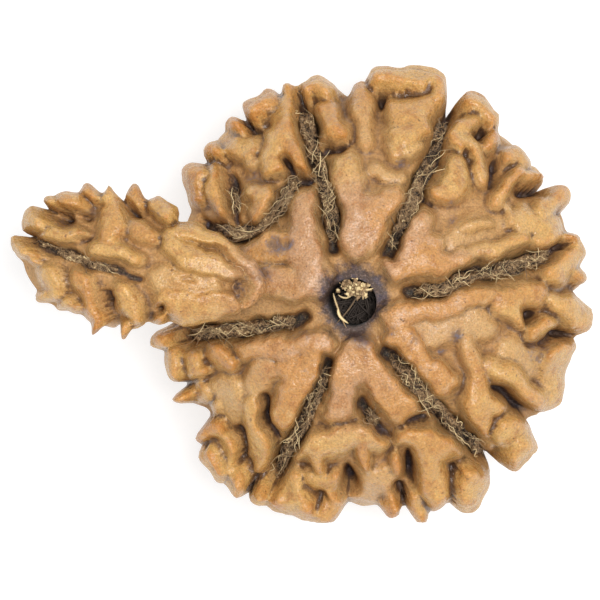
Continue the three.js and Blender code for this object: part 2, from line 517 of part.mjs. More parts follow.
// Joins the corners that triangles share, so that a mesh is closed
function closed(geometry) {
  geometry.deleteAttribute('normal');
  geometry.deleteAttribute('uv');
  return mergeVertices(geometry, 1e-5);
}

// The unit sphere with a bore along an axis: up the outside, then back down the bore
function boredSphere(axis) {
  const rim = Math.asin(HOLE_RADIUS / LARGE_RADIUS);
  const outside = Array.from({ length: LARGE_ROWS + 1 }, (_, row) => {
    const polar = lerp(Math.PI - rim, rim, row / LARGE_ROWS);
    return new THREE.Vector2(Math.sin(polar), Math.cos(polar));
  });
  const inside = Array.from({ length: BORE_ROWS }, (_, row) => (
    new THREE.Vector2(HOLE_INNER_RADIUS / LARGE_RADIUS, lerp(BORE_REACH, -BORE_REACH, row / (BORE_ROWS - 1)))
  ));
  const sphere = closed(new THREE.LatheGeometry([...outside, ...inside, outside[0]], LARGE_COLUMNS));
  return sphere.applyQuaternion(new THREE.Quaternion().setFromUnitVectors(new THREE.Vector3(0, 1, 0), axis));
}

// The unit sphere with its poles at the slim seed's two ends
function lyingSphere() {
  return closed(new THREE.SphereGeometry(1, SLIM_COLUMNS, SLIM_ROWS)).rotateZ(-Math.PI / 2);
}

// The large seed's underside: the grooves run on to the lower end of the stringing hole, with
// tiers of knobs between them and then forked plates
function addLargeUnderside(seed, lowerEnd) {
  const { lobes, grooves } = seed.lower;
  const rims = LARGE_GROOVES.map((points) => {
    const [x, y] = points.at(-1);
    return new THREE.Vector3(x, y, 0).normalize();
  });
  rims.forEach((rim, face) => {
    const nextRim = rims[(face + 1) % rims.length];
    const at = (down, across) => (
      between(between(rim, lowerEnd, down), between(nextRim, lowerEnd, down), across)
    );
    grooves.push(seed.chain(UNDER_GROOVE_STEPS.map((down) => [at(down, 0), UNDER_GROOVE_WIDTH, 1])));
    KNOB_TIERS.forEach((down, tier) => {
      const arc = at(down, 0).angleTo(at(down, 1)) * LARGE_RADIUS;
      const count = Math.round(arc / KNOB_SPACING);
      for (let knob = 0; knob < count; knob += 1) {
        const drawn = draws(100 * face + 20 * tier + knob, KNOB_DRAWS);
        const across = (knob + 0.5 + drawn.across) / count;
        const width = KNOB_WIDTH + drawn.width;
        const top = KNOB_TOP + drawn.top;
        const start = at(down + drawn.down, across);
        const end = at(down + KNOB_LENGTH + drawn.lean, across + drawn.bend);
        lobes.push(seed.chain([[start, width, top], [end, KNOB_TAPER * width, top]]));
      }
    });
    const [tipWidth, neckWidth] = PLATE_WIDTHS;
    PLATE_TIPS.forEach((tip) => {
      lobes.push(seed.chain([[at(PLATE_FORK, tip), tipWidth, 0], [at(PLATE_NECK, 0.5), neckWidth, 0]]));
    });
  });
}

// The slim seed's underside: rings of knobs round its length
function addSlimUnderside(seed) {
  const onSphere = (along, roll) => {
    const across = Math.cos(along);
    return new THREE.Vector3(Math.sin(along), across * Math.cos(roll), across * Math.sin(roll));
  };
  SLIM_TIERS.forEach((tier, row) => {
    SLIM_ROLLS.forEach((turn, column) => {
      const drawn = draws(2000 + 10 * row + column, SLIM_KNOB_DRAWS);
      const along = degToRad(tier + drawn.tier);
      const roll = degToRad(turn + (row % 2 ? SLIM_ROLL_SHIFT : -SLIM_ROLL_SHIFT) + drawn.roll);
      const width = SLIM_KNOB_WIDTH + drawn.width;
      const top = SLIM_KNOB_TOP + drawn.top;
      const start = onSphere(along, roll);
      const end = onSphere(along + drawn.along, roll + drawn.around);
      seed.lower.lobes.push(seed.chain([[start, width, top], [end, SLIM_KNOB_TAPER * width, top]]));
    });
  });
}

function makeLargeSeed() {
  const seed = new Seed({
    centre: new THREE.Vector3(),
    heading: 0,
    tilt: 0,
    semiAxes: new THREE.Vector3(LARGE_RADIUS, LARGE_RADIUS, LARGE_HALF_HEIGHT),
    taper: 0,
    upper: new Relief(LARGE_FLOOR, LARGE_GROOVE).addDrawn(LARGE_LOBES, LARGE_GROOVES, LARGE_PITS),
    lower: new Relief(LARGE_FLOOR, LARGE_GROOVE),
  });
  const upperEnd = seed.directionSeenAt(...HOLE_AT);
  addLargeUnderside(seed, upperEnd.clone().negate());
  return seed.shape(boredSphere(upperEnd));
}

function makeSlimSeed() {
  const nose = new THREE.Vector3(...SLIM_NOSE);
  const tail = new THREE.Vector3(...SLIM_TAIL);
  const along = nose.clone().sub(tail);
  const seed = new Seed({
    centre: nose.clone().lerp(tail, 0.5),
    heading: Math.atan2(along.y, along.x),
    tilt: Math.asin(along.z / along.length()),
    semiAxes: new THREE.Vector3(along.length() / 2, SLIM_HALF_WIDTH, SLIM_HALF_HEIGHT),
    taper: SLIM_TAPER,
    upper: new Relief(SLIM_FLOOR, SLIM_GROOVE).addDrawn(SLIM_LOBES, SLIM_GROOVES, SLIM_PITS),
    lower: new Relief(SLIM_FLOOR, SLIM_GROOVE),
  });
  addSlimUnderside(seed);
  return seed.shape(lyingSphere());
}

// A block under the plane on which the seed stands, which takes off what would pass through
function makeGround() {
  const side = 4 * LARGE_RADIUS;
  return closed(new THREE.BoxGeometry(side, side, side)).translate(0, 0, -REST_HEIGHT - side / 2);
}

const manifold = await Module();
manifold.setup();

function toSolid(geometry) {
  const vertProperties = new Float32Array(geometry.getAttribute('position').array);
  const triVerts = new Uint32Array(geometry.getIndex().array);
  return new manifold.Manifold(new manifold.Mesh({ numProp: 3, vertProperties, triVerts }));
}

function toGeometry(solid) {
  const { vertProperties, triVerts } = solid.getMesh();
  const geometry = new THREE.BufferGeometry();
  geometry.setAttribute('position', new THREE.BufferAttribute(vertProperties, 3));
  geometry.setIndex(new THREE.BufferAttribute(triVerts, 1));
  return geometry;
}

const grown = toSolid(makeLargeSeed()).add(toSolid(makeSlimSeed())).subtract(toSolid(makeGround()));
const geometry = toGeometry(grown).translate(-FOOTPRINT_CENTRE[0], -FOOTPRINT_CENTRE[1], REST_HEIGHT);
geometry.computeVertexNormals();

const seedSkin = new THREE.MeshStandardMaterial({ color: 0xc8935a, roughness: 0.45, metalness: 0 });
const rudrakshaSeed = new THREE.Mesh(geometry, seedSkin);
rudrakshaSeed.name = 'rudraksha_seed';

const group = new THREE.Group();
group.add(rudrakshaSeed);

export default group;
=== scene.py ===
"""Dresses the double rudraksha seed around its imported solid, in metres.

The large seed and the slim one grown onto its shoulder are worked out again on finer grids,
with the relief that the solid has: lobes, grooves and pits are chains of points on an
egg-shaped envelope. Two skins replace the solid, and dry fibre fills grooves, hole and pits.
"""
import logging
import math
from dataclasses import dataclass, field
from enum import Enum

import bpy
import numpy as np
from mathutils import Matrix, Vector


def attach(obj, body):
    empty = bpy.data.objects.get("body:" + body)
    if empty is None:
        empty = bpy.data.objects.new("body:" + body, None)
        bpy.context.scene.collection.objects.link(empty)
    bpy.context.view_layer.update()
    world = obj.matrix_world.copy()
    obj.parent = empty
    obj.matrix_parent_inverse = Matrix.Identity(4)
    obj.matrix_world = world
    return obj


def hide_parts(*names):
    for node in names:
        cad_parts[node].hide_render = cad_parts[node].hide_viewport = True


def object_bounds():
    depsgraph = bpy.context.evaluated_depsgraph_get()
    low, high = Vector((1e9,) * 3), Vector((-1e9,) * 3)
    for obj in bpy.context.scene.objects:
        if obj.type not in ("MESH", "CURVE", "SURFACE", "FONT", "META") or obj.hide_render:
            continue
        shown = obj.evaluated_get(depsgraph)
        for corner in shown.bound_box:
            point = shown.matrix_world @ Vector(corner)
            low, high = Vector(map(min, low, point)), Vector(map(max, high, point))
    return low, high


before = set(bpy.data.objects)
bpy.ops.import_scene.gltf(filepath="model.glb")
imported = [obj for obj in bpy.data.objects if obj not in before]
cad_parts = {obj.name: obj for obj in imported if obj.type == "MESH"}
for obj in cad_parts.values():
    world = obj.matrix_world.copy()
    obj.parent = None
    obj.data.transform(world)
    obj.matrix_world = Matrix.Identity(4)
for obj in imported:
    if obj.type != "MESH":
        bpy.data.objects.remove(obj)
SOLID_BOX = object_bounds()

log = logging.getLogger("rudraksha")
Pair = tuple[float, float]
Array = np.ndarray
Chance = np.random.Generator
Piece = bpy.types.Object
Material = bpy.types.Material
Triple = tuple[float, float, float]

NODE = "rudraksha_seed"
BODY = "root"
SLOT = "seed_skin"
MM = 0.001
UP = np.array([0.0, 0.0, 1.0])
TINY = 1e-12
WHITE = (1.0, 1.0, 1.0, 1.0)

# Driving dimensions, in millimetres, as in the solid
LARGE_RADIUS = 13.7
LARGE_HALF_HEIGHT = 11.2
REST_HEIGHT = 10.65
HOLE_RADIUS = 1.6
HOLE_INNER_RADIUS = 1.4
SLIM_HALF_WIDTH = 4.25
SLIM_HALF_HEIGHT = 3.7
SLIM_TAPER = 0.25

# Places from the centre of the large seed: X to the right, Y away, Z up
HOLE_AT = (-1.45, -0.5)
SLIM_NOSE = (-6.25, 0.4, 10.4)
SLIM_TAIL = (-22.1, 3.1, 4.0)
FOOTPRINT_CENTRE = (-4.28, 0.11)

# Relief: how far the floors between lobes and the grooves between faces lie under the
# envelope, how steep the edges of lobes and of grooves are, how domed the lobes are, how
# sharply lobes that touch are parted, by how much lobes are widened, and grooves narrowed so
# that they are crisp, how many half-widths away a chain still tells, and the depth from
# which a pit is dark
LARGE_FLOOR = 1.7
LARGE_GROOVE = 3.2
SLIM_FLOOR = 1.15
SLIM_GROOVE = 1.7
LOBE_POWER = 8
GROOVE_POWER = 8
DOME = 0.18
BLEND_POWER = 9
LOBE_WIDEN = 1.13
GROOVE_CRISPNESS = 0.86
REACH = 3.5
DARK_PIT = 1.1

# How the surface is found: heights over the envelope between which each ray is followed,
# levels between which the upper and lower reliefs blend, as shares of a seed's half-height,
# size of the disc that the rays spread from, as a share of the envelope's, how a point's ray
# is searched for, and the shares of a ray and of a tapered seed's thickness that are kept
MARCH_FROM = 1.9
MARCH_TO = -4.2
MARCH_STEPS = 18
HANDOVER = (-0.4, -0.13)
SPREAD = 0.78
HALVINGS = 26
FARTHEST = 2.0
DEEPEST = 0.12
LEAST_THICKNESS = 0.1

# Slow waves over all of it, as height and turns a millimetre along X, Y and Z, and how much
# of the third one is added to the product of the first two
RIPPLE = 0.1
RIPPLE_WAVES = ((1.9, 0.7, 0.0), (0.0, 1.7, -1.3), (1.1, 0.0, 2.3))
RIPPLE_THIRD = 0.6

# How far edges sway sideways, and the length, shrinking and number of the waves
SWAY = 0.11
SWAY_LENGTH = 3.0
SWAY_SHRINK = 1.45
SWAY_WAVES = 6

# Notches across the lobes on the steep sides: depth as a share of the floor's, how far apart
# they are, the heights on the unit envelope between which they fade out upwards, and the
# waves that turn them: size, run along X and Y, and start
NOTCH_DEPTH = 0.36
NOTCH_SPACING = 2.9
NOTCH_FADE = (0.15, 0.42)
NOTCH_WAVES = ((1.1, 0.9, 0.5, 0.0), (0.8, -0.6, 1.1, 2.0))

# Repeatable draws: the sine's wave and scale, the step between the draws for one number, and
# how numbers are shared out among knobs, swaying edges and tints
RANDOM_SEED = 11
DRAW_WAVE = 12.9898
DRAW_SCALE = 43758.5453
DRAW_STEP = 300
NUMBERS_A_FACE = 100
NUMBERS_A_TIER = 20
SWAY_ANGLES = 500
SWAY_STARTS = 550
SLIM_NUMBERS = 2000
NUMBERS_A_ROW = 10
TINT_NUMBERS = 7000

# The rim of a seed as seen from above, and the share of the height that the bore reaches
EDGE_OF_VIEW = 0.995
BORE_REACH = 0.85

# What the skins have beyond the solid: deeper crevices, as depth and a chain of points with
# x, y and half-width, and a fuller tongue on the slim seed's leaf
LARGE_DEEPER = (
    [2.6, [-4.4, 11.6, 0.35], [-4.3, 11.1, 0.3]],
    [2, [0.4, 11.9, 0.25], [0.5, 11.4, 0.2]],
    [1.8, [-4.5, 7.4, 0.3]],
    [1.6, [9.3, -1.2, 0.35]],
    [2.8, [10.8, -2.5, 0.4], [11.5, -2.4, 0.35]],
    [2.6, [4.6, 11.2, 0.35], [4.85, 12.1, 0.3]],
    [2.2, [6.1, 9.7, 0.25], [6.4, 9.4, 0.25]],
    [1.6, [7.4, 8.2, 0.18], [7.1, 7.3, 0.2], [6.95, 6.5, 0.18]],
    [2.4, [-1.75, -10.5, 0.28], [-1.5, -11.2, 0.3]],
    [2.4, [-6.9, -11.4, 0.25], [-7, -12, 0.22]],
    [1.5, [-3.3, -12, 0.18], [-3.5, -12.8, 0.2]],
    [2.4, [1.6, -11.7, 0.25], [1.75, -12.2, 0.28]],
    [1.5, [2.05, -9.7, 0.18], [2.2, -10.6, 0.2]],
    [2.4, [5.1, -10.7, 0.32]],
    [2.2, [-8.1, -8.4, 0.34], [-7.9, -9.1, 0.3]],
    [2.2, [-6.65, -6.6, 0.28], [-6.4, -7.9, 0.28]],
)
SLIM_FULLER = (
    [[-12.1, 2.7, 0.65, 0.45], [-11, 2.25, 0.9, 0.5], [-9.7, 1.8, 0.7, 0.5], [-8.4, 1.3, 0.45, 0.45]],
)
SLIM_DEEPER = (
    [1.5, [-8.05, 0.5, 0.36], [-7.95, 0.15, 0.32]],
    [1.5, [-18.7, 4.3, 0.32], [-18.3, 4.5, 0.28]],
    [1.4, [-17.3, 4.95, 0.3]],
    [1.3, [-17.6, 3.35, 0.22], [-17.2, 3.5, 0.18]],
    [1.3, [-14.3, 5, 0.3], [-13.9, 4.9, 0.22]],
    [1.2, [-12, 4.2, 0.22]],
    [1.4, [-16, 0.2, 0.18], [-15.9, -0.7, 0.22]],
    [1.2, [-18.1, -0.4, 0.2]],
    [1.3, [-12.9, -1.15, 0.28]],
    [1.3, [-20.6, 3.5, 0.22]],
)

# The lobes of the large seed that show from above. Each is a chain of points along its
# crest: x, y, half-width, and height over the envelope.
LARGE_LOBES = (
    # North face, between the grooves at 68 and 111 degrees: a forked plate, then knobs
    [[-1, 2.9, 0.8, -0.1], [-1.35, 5.2, 0.85, 0], [-1.6, 7, 0.9, 0], [-1.65, 8, 0.7, -0.1]],
    [[-0.6, 3.2, 0.8, -0.1], [0.1, 4.7, 0.85, 0], [1.1, 5.9, 0.7, 0]],
    [[-0.5, 5.2, 0.9, -0.15]],
    [[-0.1, 7.4, 0.4, -0.9], [1.5, 7.1, 0.4, -0.9]],
    [[1.5, 8.9, 0.65, -0.35], [2.3, 8.9, 0.5, -0.5]],
    [[1.7, 9.9, 0.85, 0], [2.8, 10.4, 0.95, 0.1]],
    [[1.6, 11.1, 0.85, 0.15], [3.2, 11.3, 0.8, 0.25]],
    [[0.5, 13.4, 0.65, 0.7], [2.2, 13.5, 0.85, 0.8], [3.9, 13.3, 0.7, 1.1], [3.9, 12.2, 0.6, 0.6]],
    [[-2.4, 10.1, 0.85, 0.2], [-2.9, 11.2, 0.6, 0.2]],
    [[-4.2, 12.6, 0.5, 0.8], [-3.5, 12.9, 0.6, 0.8], [-2.7, 12.4, 0.45, 0.3]],
    [[-0.8, 12.6, 0.6, -0.2], [-0.6, 10.8, 0.5, -0.6], [-0.4, 9.3, 0.5, -0.9]],
    # North-east face, to the groove at 15 degrees
    [[1.4, 1.9, 0.8, -0.1], [2.3, 3.2, 0.9, 0], [2.9, 4.4, 0.6, 0]],
    [[1.6, 1.6, 0.7, -0.1], [3.4, 2, 0.8, 0], [5.4, 2, 0.45, -0.1]],
    [[3.2, 2.9, 0.9, -0.1]],
    [[5, 3.4, 0.9, -1], [7.4, 4.2, 0.8, -1.2]],
    [[7.9, 5.4, 0.25, -0.8], [8.3, 4.3, 0.35, -0.5]],
    [[5.2, 2.4, 0.45, -0.4], [7.2, 2.75, 0.45, -0.2], [8.9, 3.35, 0.4, -0.1]],
    [[5.4, 3.9, 0.25, -0.7], [6.9, 4.4, 0.3, -0.4]],
    [[3.9, 6.1, 0.55, 0], [5, 6.4, 0.65, 0]],
    [[4.9, 6.9, 0.85, 0], [4.9, 8, 0.65, 0.1]],
    [[5.1, 9.6, 0.55, 0.1], [5.8, 9.1, 0.45, 0.1], [6.4, 8.2, 0.45, 0], [6.5, 7, 0.5, -0.3]],
    [[5.4, 10.3, 0.4, 0.2], [6.1, 10.5, 0.4, 0.2]],
    [[6.9, 9.2, 0.45, 0.1], [7.2, 9.7, 0.4, 0.2]],
    [[5.8, 12, 0.65, 0.5], [6.6, 11.6, 0.65, 0.6], [7.4, 10.8, 0.45, 0.5]],
    [[4.8, 12, 0.4, 0.3]],
    [[8.2, 8.5, 0.6, -0.3], [9, 8.2, 0.5, -0.3]],
    [[7.3, 5.7, 0.35, -0.5], [8.1, 6.6, 0.3, 0.1], [8.8, 7.4, 0.25, 0.5]],
    [[9.3, 7.2, 0.35, 0], [10.2, 7.2, 0.2, 0.1]],
    [[10.6, 5.4, 0.7, 0], [11.4, 6, 0.8, 0.3]],
    [[9.2, 4.4, 0.9, -0.4], [11, 4.2, 0.6, -0.1]],
    [[9.9, 3.3, 0.5, -0.2], [11, 3.5, 0.5, 0]],
    # East face, to the groove at 305 degrees
    [[1.2, -1.3, 0.8, -0.1], [3, -1.1, 0.6, 0], [5, -0.5, 0.65, 0], [6.9, 0.1, 0.5, 0]],
    [[1.5, -2.3, 0.8, -0.1], [2.6, -3.7, 0.6, 0.1], [4.3, -5.3, 0.75, 0.25]],
    [[2.8, -2.3, 0.8, -0.6], [4.5, -2, 0.9, -0.75], [6.5, -1.7, 0.9, -0.8]],
    [[5.7, -3, 0.6, -0.5], [6.2, -4.8, 0.6, -0.2], [6.3, -6.8, 0.85, 0.2], [6.7, -8, 0.45, 0.3]],
    [[6.5, -6.4, 0.7, 0], [7.5, -6.9, 0.35, 0.1]],
    [[7.9, -0.4, 0.8, -0.1], [9.9, 0.2, 0.65, 0.1]],
    [[8.3, -0.9, 0.6, -0.1], [8.9, -1.9, 0.3, 0]],
    [[10.2, -1.8, 0.6, 0.2], [9.7, -2.4, 0.4, -0.2]],
    [[11, -0.3, 0.5, -0.2], [11.9, -1, 0.9, 0.2], [12.8, -1.4, 0.9, 0.3]],
    [[7.2, -4.3, 0.6, -0.3], [8.3, -4.9, 0.6, 0.15], [10, -6.4, 0.55, 0.35]],
    [[11.4, -3.3, 0.75, -0.1], [10.9, -4.8, 0.85, -0.6], [10.9, -6.3, 0.75, -0.2]],
    [[8.3, -3.4, 0.9, -1], [9.6, -4, 0.9, -1.1]],
    [[8.4, -8.5, 1.1, 0.4]],
    [[9.3, -9.3, 0.8, 1], [8.6, -10.2, 0.7, 1.15]],
    [[11.1, 1.5, 0.9, 0], [12, 2.3, 0.6, 0.1], [12.8, 2.8, 0.4, 0.2]],
    [[12, 3.4, 0.35, 0.1], [12.4, 3.3, 0.35, 0.2]],
    [[12.5, 1.2, 0.5, -0.1]],
    # South face, to the groove at 240 degrees
    [[-1.3, -3.4, 0.8, -0.1], [-1.9, -5.5, 0.85, 0], [-2.1, -6.9, 0.85, 0]],
    [[-0.8, -3.4, 0.8, -0.1], [0.4, -5.3, 0.8, 0], [1.7, -6.9, 0.8, 0]],
    [[-0.8, -4.6, 0.9, -0.05]],
    [[1.6, -8.6, 0.5, 0.1], [3.2, -8.8, 0.85, 0.3], [4.4, -9.4, 0.75, 0.35]],
    [[3.4, -9.6, 0.95, 0.3], [3.5, -11.1, 0.9, 0.6], [4, -12.5, 0.65, 1.3]],
    [[-4.1, -9.2, 0.75, 0.3], [-2.9, -8.9, 0.8, 0.3], [-1.3, -8.6, 0.75, 0.25], [0.1, -8.7, 0.6, 0.1]],
    [[-3.6, -9.6, 0.6, 0.3], [-3.2, -10.5, 0.3, 0.3]],
    [[-0.6, -9.2, 0.5, 0.2], [-0.5, -10.4, 0.25, 0.2]],
    [[1.25, -9.7, 0.25, -0.3], [1.6, -10.9, 0.2, 0]],
    [[-5, -11.3, 0.7, 0.1], [-4.9, -12.5, 0.95, 1.3]],
    [[-3.8, -11.4, 0.6, -0.2], [-2.2, -11.2, 0.55, -0.1]],
    [[-5.9, -12.7, 0.65, 1.4]],
    [[-7, -12.5, 0.6, 1.9]],
    [[-4.2, -13.4, 0.65, 1.6]],
    [[-2.5, -12.6, 0.8, 0.2], [-3.1, -13.5, 0.7, 1.15]],
    [[0.2, -11.6, 1.2, -0.8], [-0.6, -12.4, 0.9, -0.8]],
    [[0.9, -12.6, 0.5, 0.1], [1.2, -13.3, 0.5, 0.9]],
    [[2.6, -12.6, 0.6, 0.4], [2.95, -13.6, 0.5, 1.35]],
    [[1, -10.8, 0.6, -0.8], [1.1, -12.2, 0.5, -0.4]],
    [[6, -11.6, 1.15, 1], [5.7, -12.6, 0.85, 1.4]],
    [[6.5, -10.9, 0.5, 0.4]],
    # South-west face, to the groove at 194 degrees
    [[-3.2, -2.9, 0.7, -0.1], [-5.5, -3.2, 0.65, 0], [-7.6, -3.3, 0.65, 0]],
    [[-3.6, -3.6, 0.7, -0.1], [-4.7, -5.6, 0.85, 0.1], [-5.5, -7.4, 0.8, 0.3]],
    [[-5, -4.3, 0.9, -0.1]],
    [[-6.5, -4.6, 0.8, -0.4], [-7.2, -5.6, 0.7, -0.4]],
    [[-7.4, -6.5, 0.5, -0.2], [-7, -8.6, 0.7, 0.1], [-6.8, -9.6, 0.75, 0.2], [-7, -10.7, 0.45, 0.2]],
    [[-9.2, -8.7, 0.6, 0.2], [-8.9, -9.8, 0.75, 0.5], [-8.6, -11, 0.75, 1.1], [-8.4, -12, 0.6, 1.9]],
    [[-9.6, -8.2, 0.55, 0.4], [-10.4, -8.7, 0.4, 0.9]],
    [[-10.2, -9.9, 0.6, 1.4], [-9.6, -11, 0.55, 1.8]],
    [[-8.8, -5.7, 0.9, -0.6], [-8.4, -7, 0.7, -0.7]],
    [[-9.6, -3.6, 0.65, 0.3], [-8.9, -3.9, 0.6, 0.2]],
    [[-11, -3.6, 0.5, 0.3], [-10.9, -4.6, 0.45, 0.3], [-10.3, -4.8, 0.35, 0.2]],
    [[-12.1, -3.6, 0.55, 0.7], [-12.1, -4.7, 0.55, 1]],
    [[-12.9, -2.8, 0.55, 1]],
    [[-11.3, -6, 0.4, 0.4], [-12.1, -6.4, 0.3, 1.5]],
    [[-10.5, -5.9, 0.7, -0.4]],
    [[-9.4, -6.9, 0.5, -0.4]],
    # West face, half under the slim seed, to the groove at 156 degrees
    [[-3.5, 0.6, 0.9, -0.2], [-4.3, 2.6, 1, -0.1], [-4.3, 4.4, 0.9, 0], [-4.2, 5.6, 0.7, 0.05]],
    [[-4.3, 0.6, 0.9, -0.2], [-6, 0.8, 1, -0.3], [-8, 0.6, 0.9, -0.5]],
    [[-5.4, 3, 0.9, -0.25], [-7.2, 2.5, 0.8, -0.4]],
    [[-9.5, 1, 1, -0.5], [-11, 0, 1, -0.4]],
    # North-west face, to the groove at 111 degrees
    [[-5.5, 10.4, 0.75, 0.1], [-5.3, 11.7, 0.55, 0.4]],
    [[-5.3, 9.8, 0.9, 0.3], [-4.8, 8.7, 0.65, 0.3], [-4.4, 7.8, 0.5, 0.3]],
    [[-5.9, 9.4, 0.8, 0.3], [-6.2, 8.3, 0.65, 0.25], [-6.05, 7.5, 0.5, 0.2]],
    [[-5.2, 12.6, 0.45, 0.9]],
    [[-6.5, 11.9, 0.75, 0.9], [-7.4, 11.4, 0.65, 1.1]],
    [[-8.2, 10.1, 0.4, 0.4], [-8.7, 10.4, 0.4, 1.1]],
    [[-8.8, 9.2, 0.7, 0], [-7.8, 9, 0.8, -0.1]],
    [[-7.4, 8.1, 0.45, -0.6]],
    [[-9.9, 8.9, 0.55, 0.8]],
    [[-11, 7.5, 0.65, 0.9], [-10.8, 6.2, 0.6, 0.1]],
    [[-9.8, 7.6, 0.5, 0], [-9.7, 6.2, 0.45, 0], [-9.2, 5, 0.35, -0.2]],
    [[-7.4, 6.3, 0.5, 0], [-6.5, 6.1, 0.5, 0]],
    [[-6.9, 5.8, 0.6, 0.05], [-7.1, 4.5, 0.3, -0.1]],
)

# The grooves between its faces, from the hole outwards: x, y, half-width at each point
LARGE_GROOVES = (
    [[-2.35, 2.9, 0.5], [-2.6, 5, 0.55], [-3.15, 7, 0.5], [-3.7, 9, 0.5], [-4.2, 11, 0.5],
    [-4.7, 12.3, 0.4, 0.25]],
    [[0.8, 2.6, 0.45], [1.7, 4.2, 0.45], [2.5, 6, 0.5], [3.4, 8, 0.55], [4.1, 10, 0.5],
    [4.5, 11.6, 0.4, 0.2]],
    [[2.1, 0, 0.45], [4, 0.35, 0.45], [6.2, 1.3, 0.5], [8.6, 1.7, 0.6], [10.3, 2.4, 0.5],
    [11.6, 3.1, 0.35, 0.3]],
    [[0.8, -3.3, 0.5], [1.8, -4.5, 0.55], [3.2, -6.3, 0.6], [4.8, -7.9, 0.55], [6.2, -9.3, 0.5],
    [7.2, -10.3, 0.4, 0.5]],
    [[-2.7, -4, 0.45], [-3.3, -5.8, 0.45], [-4.2, -7.7, 0.45], [-5.2, -9.5, 0.45],
    [-5.9, -10.7, 0.4, 0.8], [-6.6, -11.8, 0.3, 0.1]],
    [[-4.4, -1.45, 0.5], [-6.5, -1.9, 0.5], [-9, -2.2, 0.5], [-11, -2.4, 0.45],
    [-12.2, -2.2, 0.3, 0.2]],
    [[-4, 6.9, 0.35], [-4.8, 6.8, 0.4], [-5.6, 5.4, 0.5], [-6.8, 4.1, 0.5], [-8.4, 3.6, 0.5],
    [-10.3, 4.4, 0.4]],
)

# Short side grooves and dark pits between lobes: the depth, then a chain of points
LARGE_PITS = (
    [1.6, [-3, 8.5, 0.3], [-1.8, 9.1, 0.25]],
    [1.4, [-4.9, 7.1, 0.25], [-5.3, 8, 0.2]],
    [1.4, [3, -7.3, 0.3], [1.8, -8, 0.2]],
    [1.2, [2.8, 5.7, 0.3], [3.3, 5.5, 0.25]],
    [1.6, [-6.7, -6.2, 0.25], [-6.6, -7.4, 0.25], [-5.8, -8.6, 0.3]],
    [1.3, [0.5, 11.9, 0.3], [0.5, 11.2, 0.2]],
    [1.3, [6, 9.8, 0.2], [6.5, 9.3, 0.25]],
    [0.8, [5.6, 8.6, 0.2], [6, 7.8, 0.2]],
    [2.4, [9, 6.1, 0.4], [10.3, 6.5, 0.35]],
    [0.8, [11.2, 5, 0.25]],
    [0.5, [5.3, 11.1, 0.12], [6.4, 10.9, 0.12], [7.6, 9.9, 0.12]],
    [2, [10.7, -2.8, 0.4], [11.3, -2.55, 0.35]],
    [0.9, [9.3, -2.9, 0.2], [10.4, -3, 0.25]],
    [1.2, [9.4, -1.3, 0.3]],
    [2.2, [7.3, -5.5, 0.25], [8.5, -6.6, 0.35], [9.9, -7.6, 0.35]],
    [1.3, [-0.7, -6.7, 0.42], [0.5, -8.3, 0.3]],
    [1.3, [1.5, -11.5, 0.25], [1.75, -12.3, 0.3]],
    [0.7, [2, -9.7, 0.25], [2.3, -11.2, 0.3]],
    [1.4, [-1.4, -10.7, 0.25], [-1.3, -11.7, 0.3]],
    [1, [-2.9, -12.3, 0.3]],
    [1.4, [5.1, -10.8, 0.35]],
    [0.5, [7.3, -8, 0.12], [7.4, -9.6, 0.12]],
    [0.4, [-3.4, 9.7, 0.12], [-2, 9.7, 0.12]],
    [1.4, [-8.2, -8.2, 0.3], [-7.9, -9.2, 0.25]],
    [0.6, [-7.4, 10.8, 0.2], [-7, 10.6, 0.2]],
    [1.3, [-8.6, 6.7, 0.42], [-8.3, 5.6, 0.2], [-8.1, 4.4, 0.25]],
    [0.3, [-6.2, 3, 0.35], [-5.5, 3, 0.4]],
    [1, [12.35, 0.15, 0.25]],
)

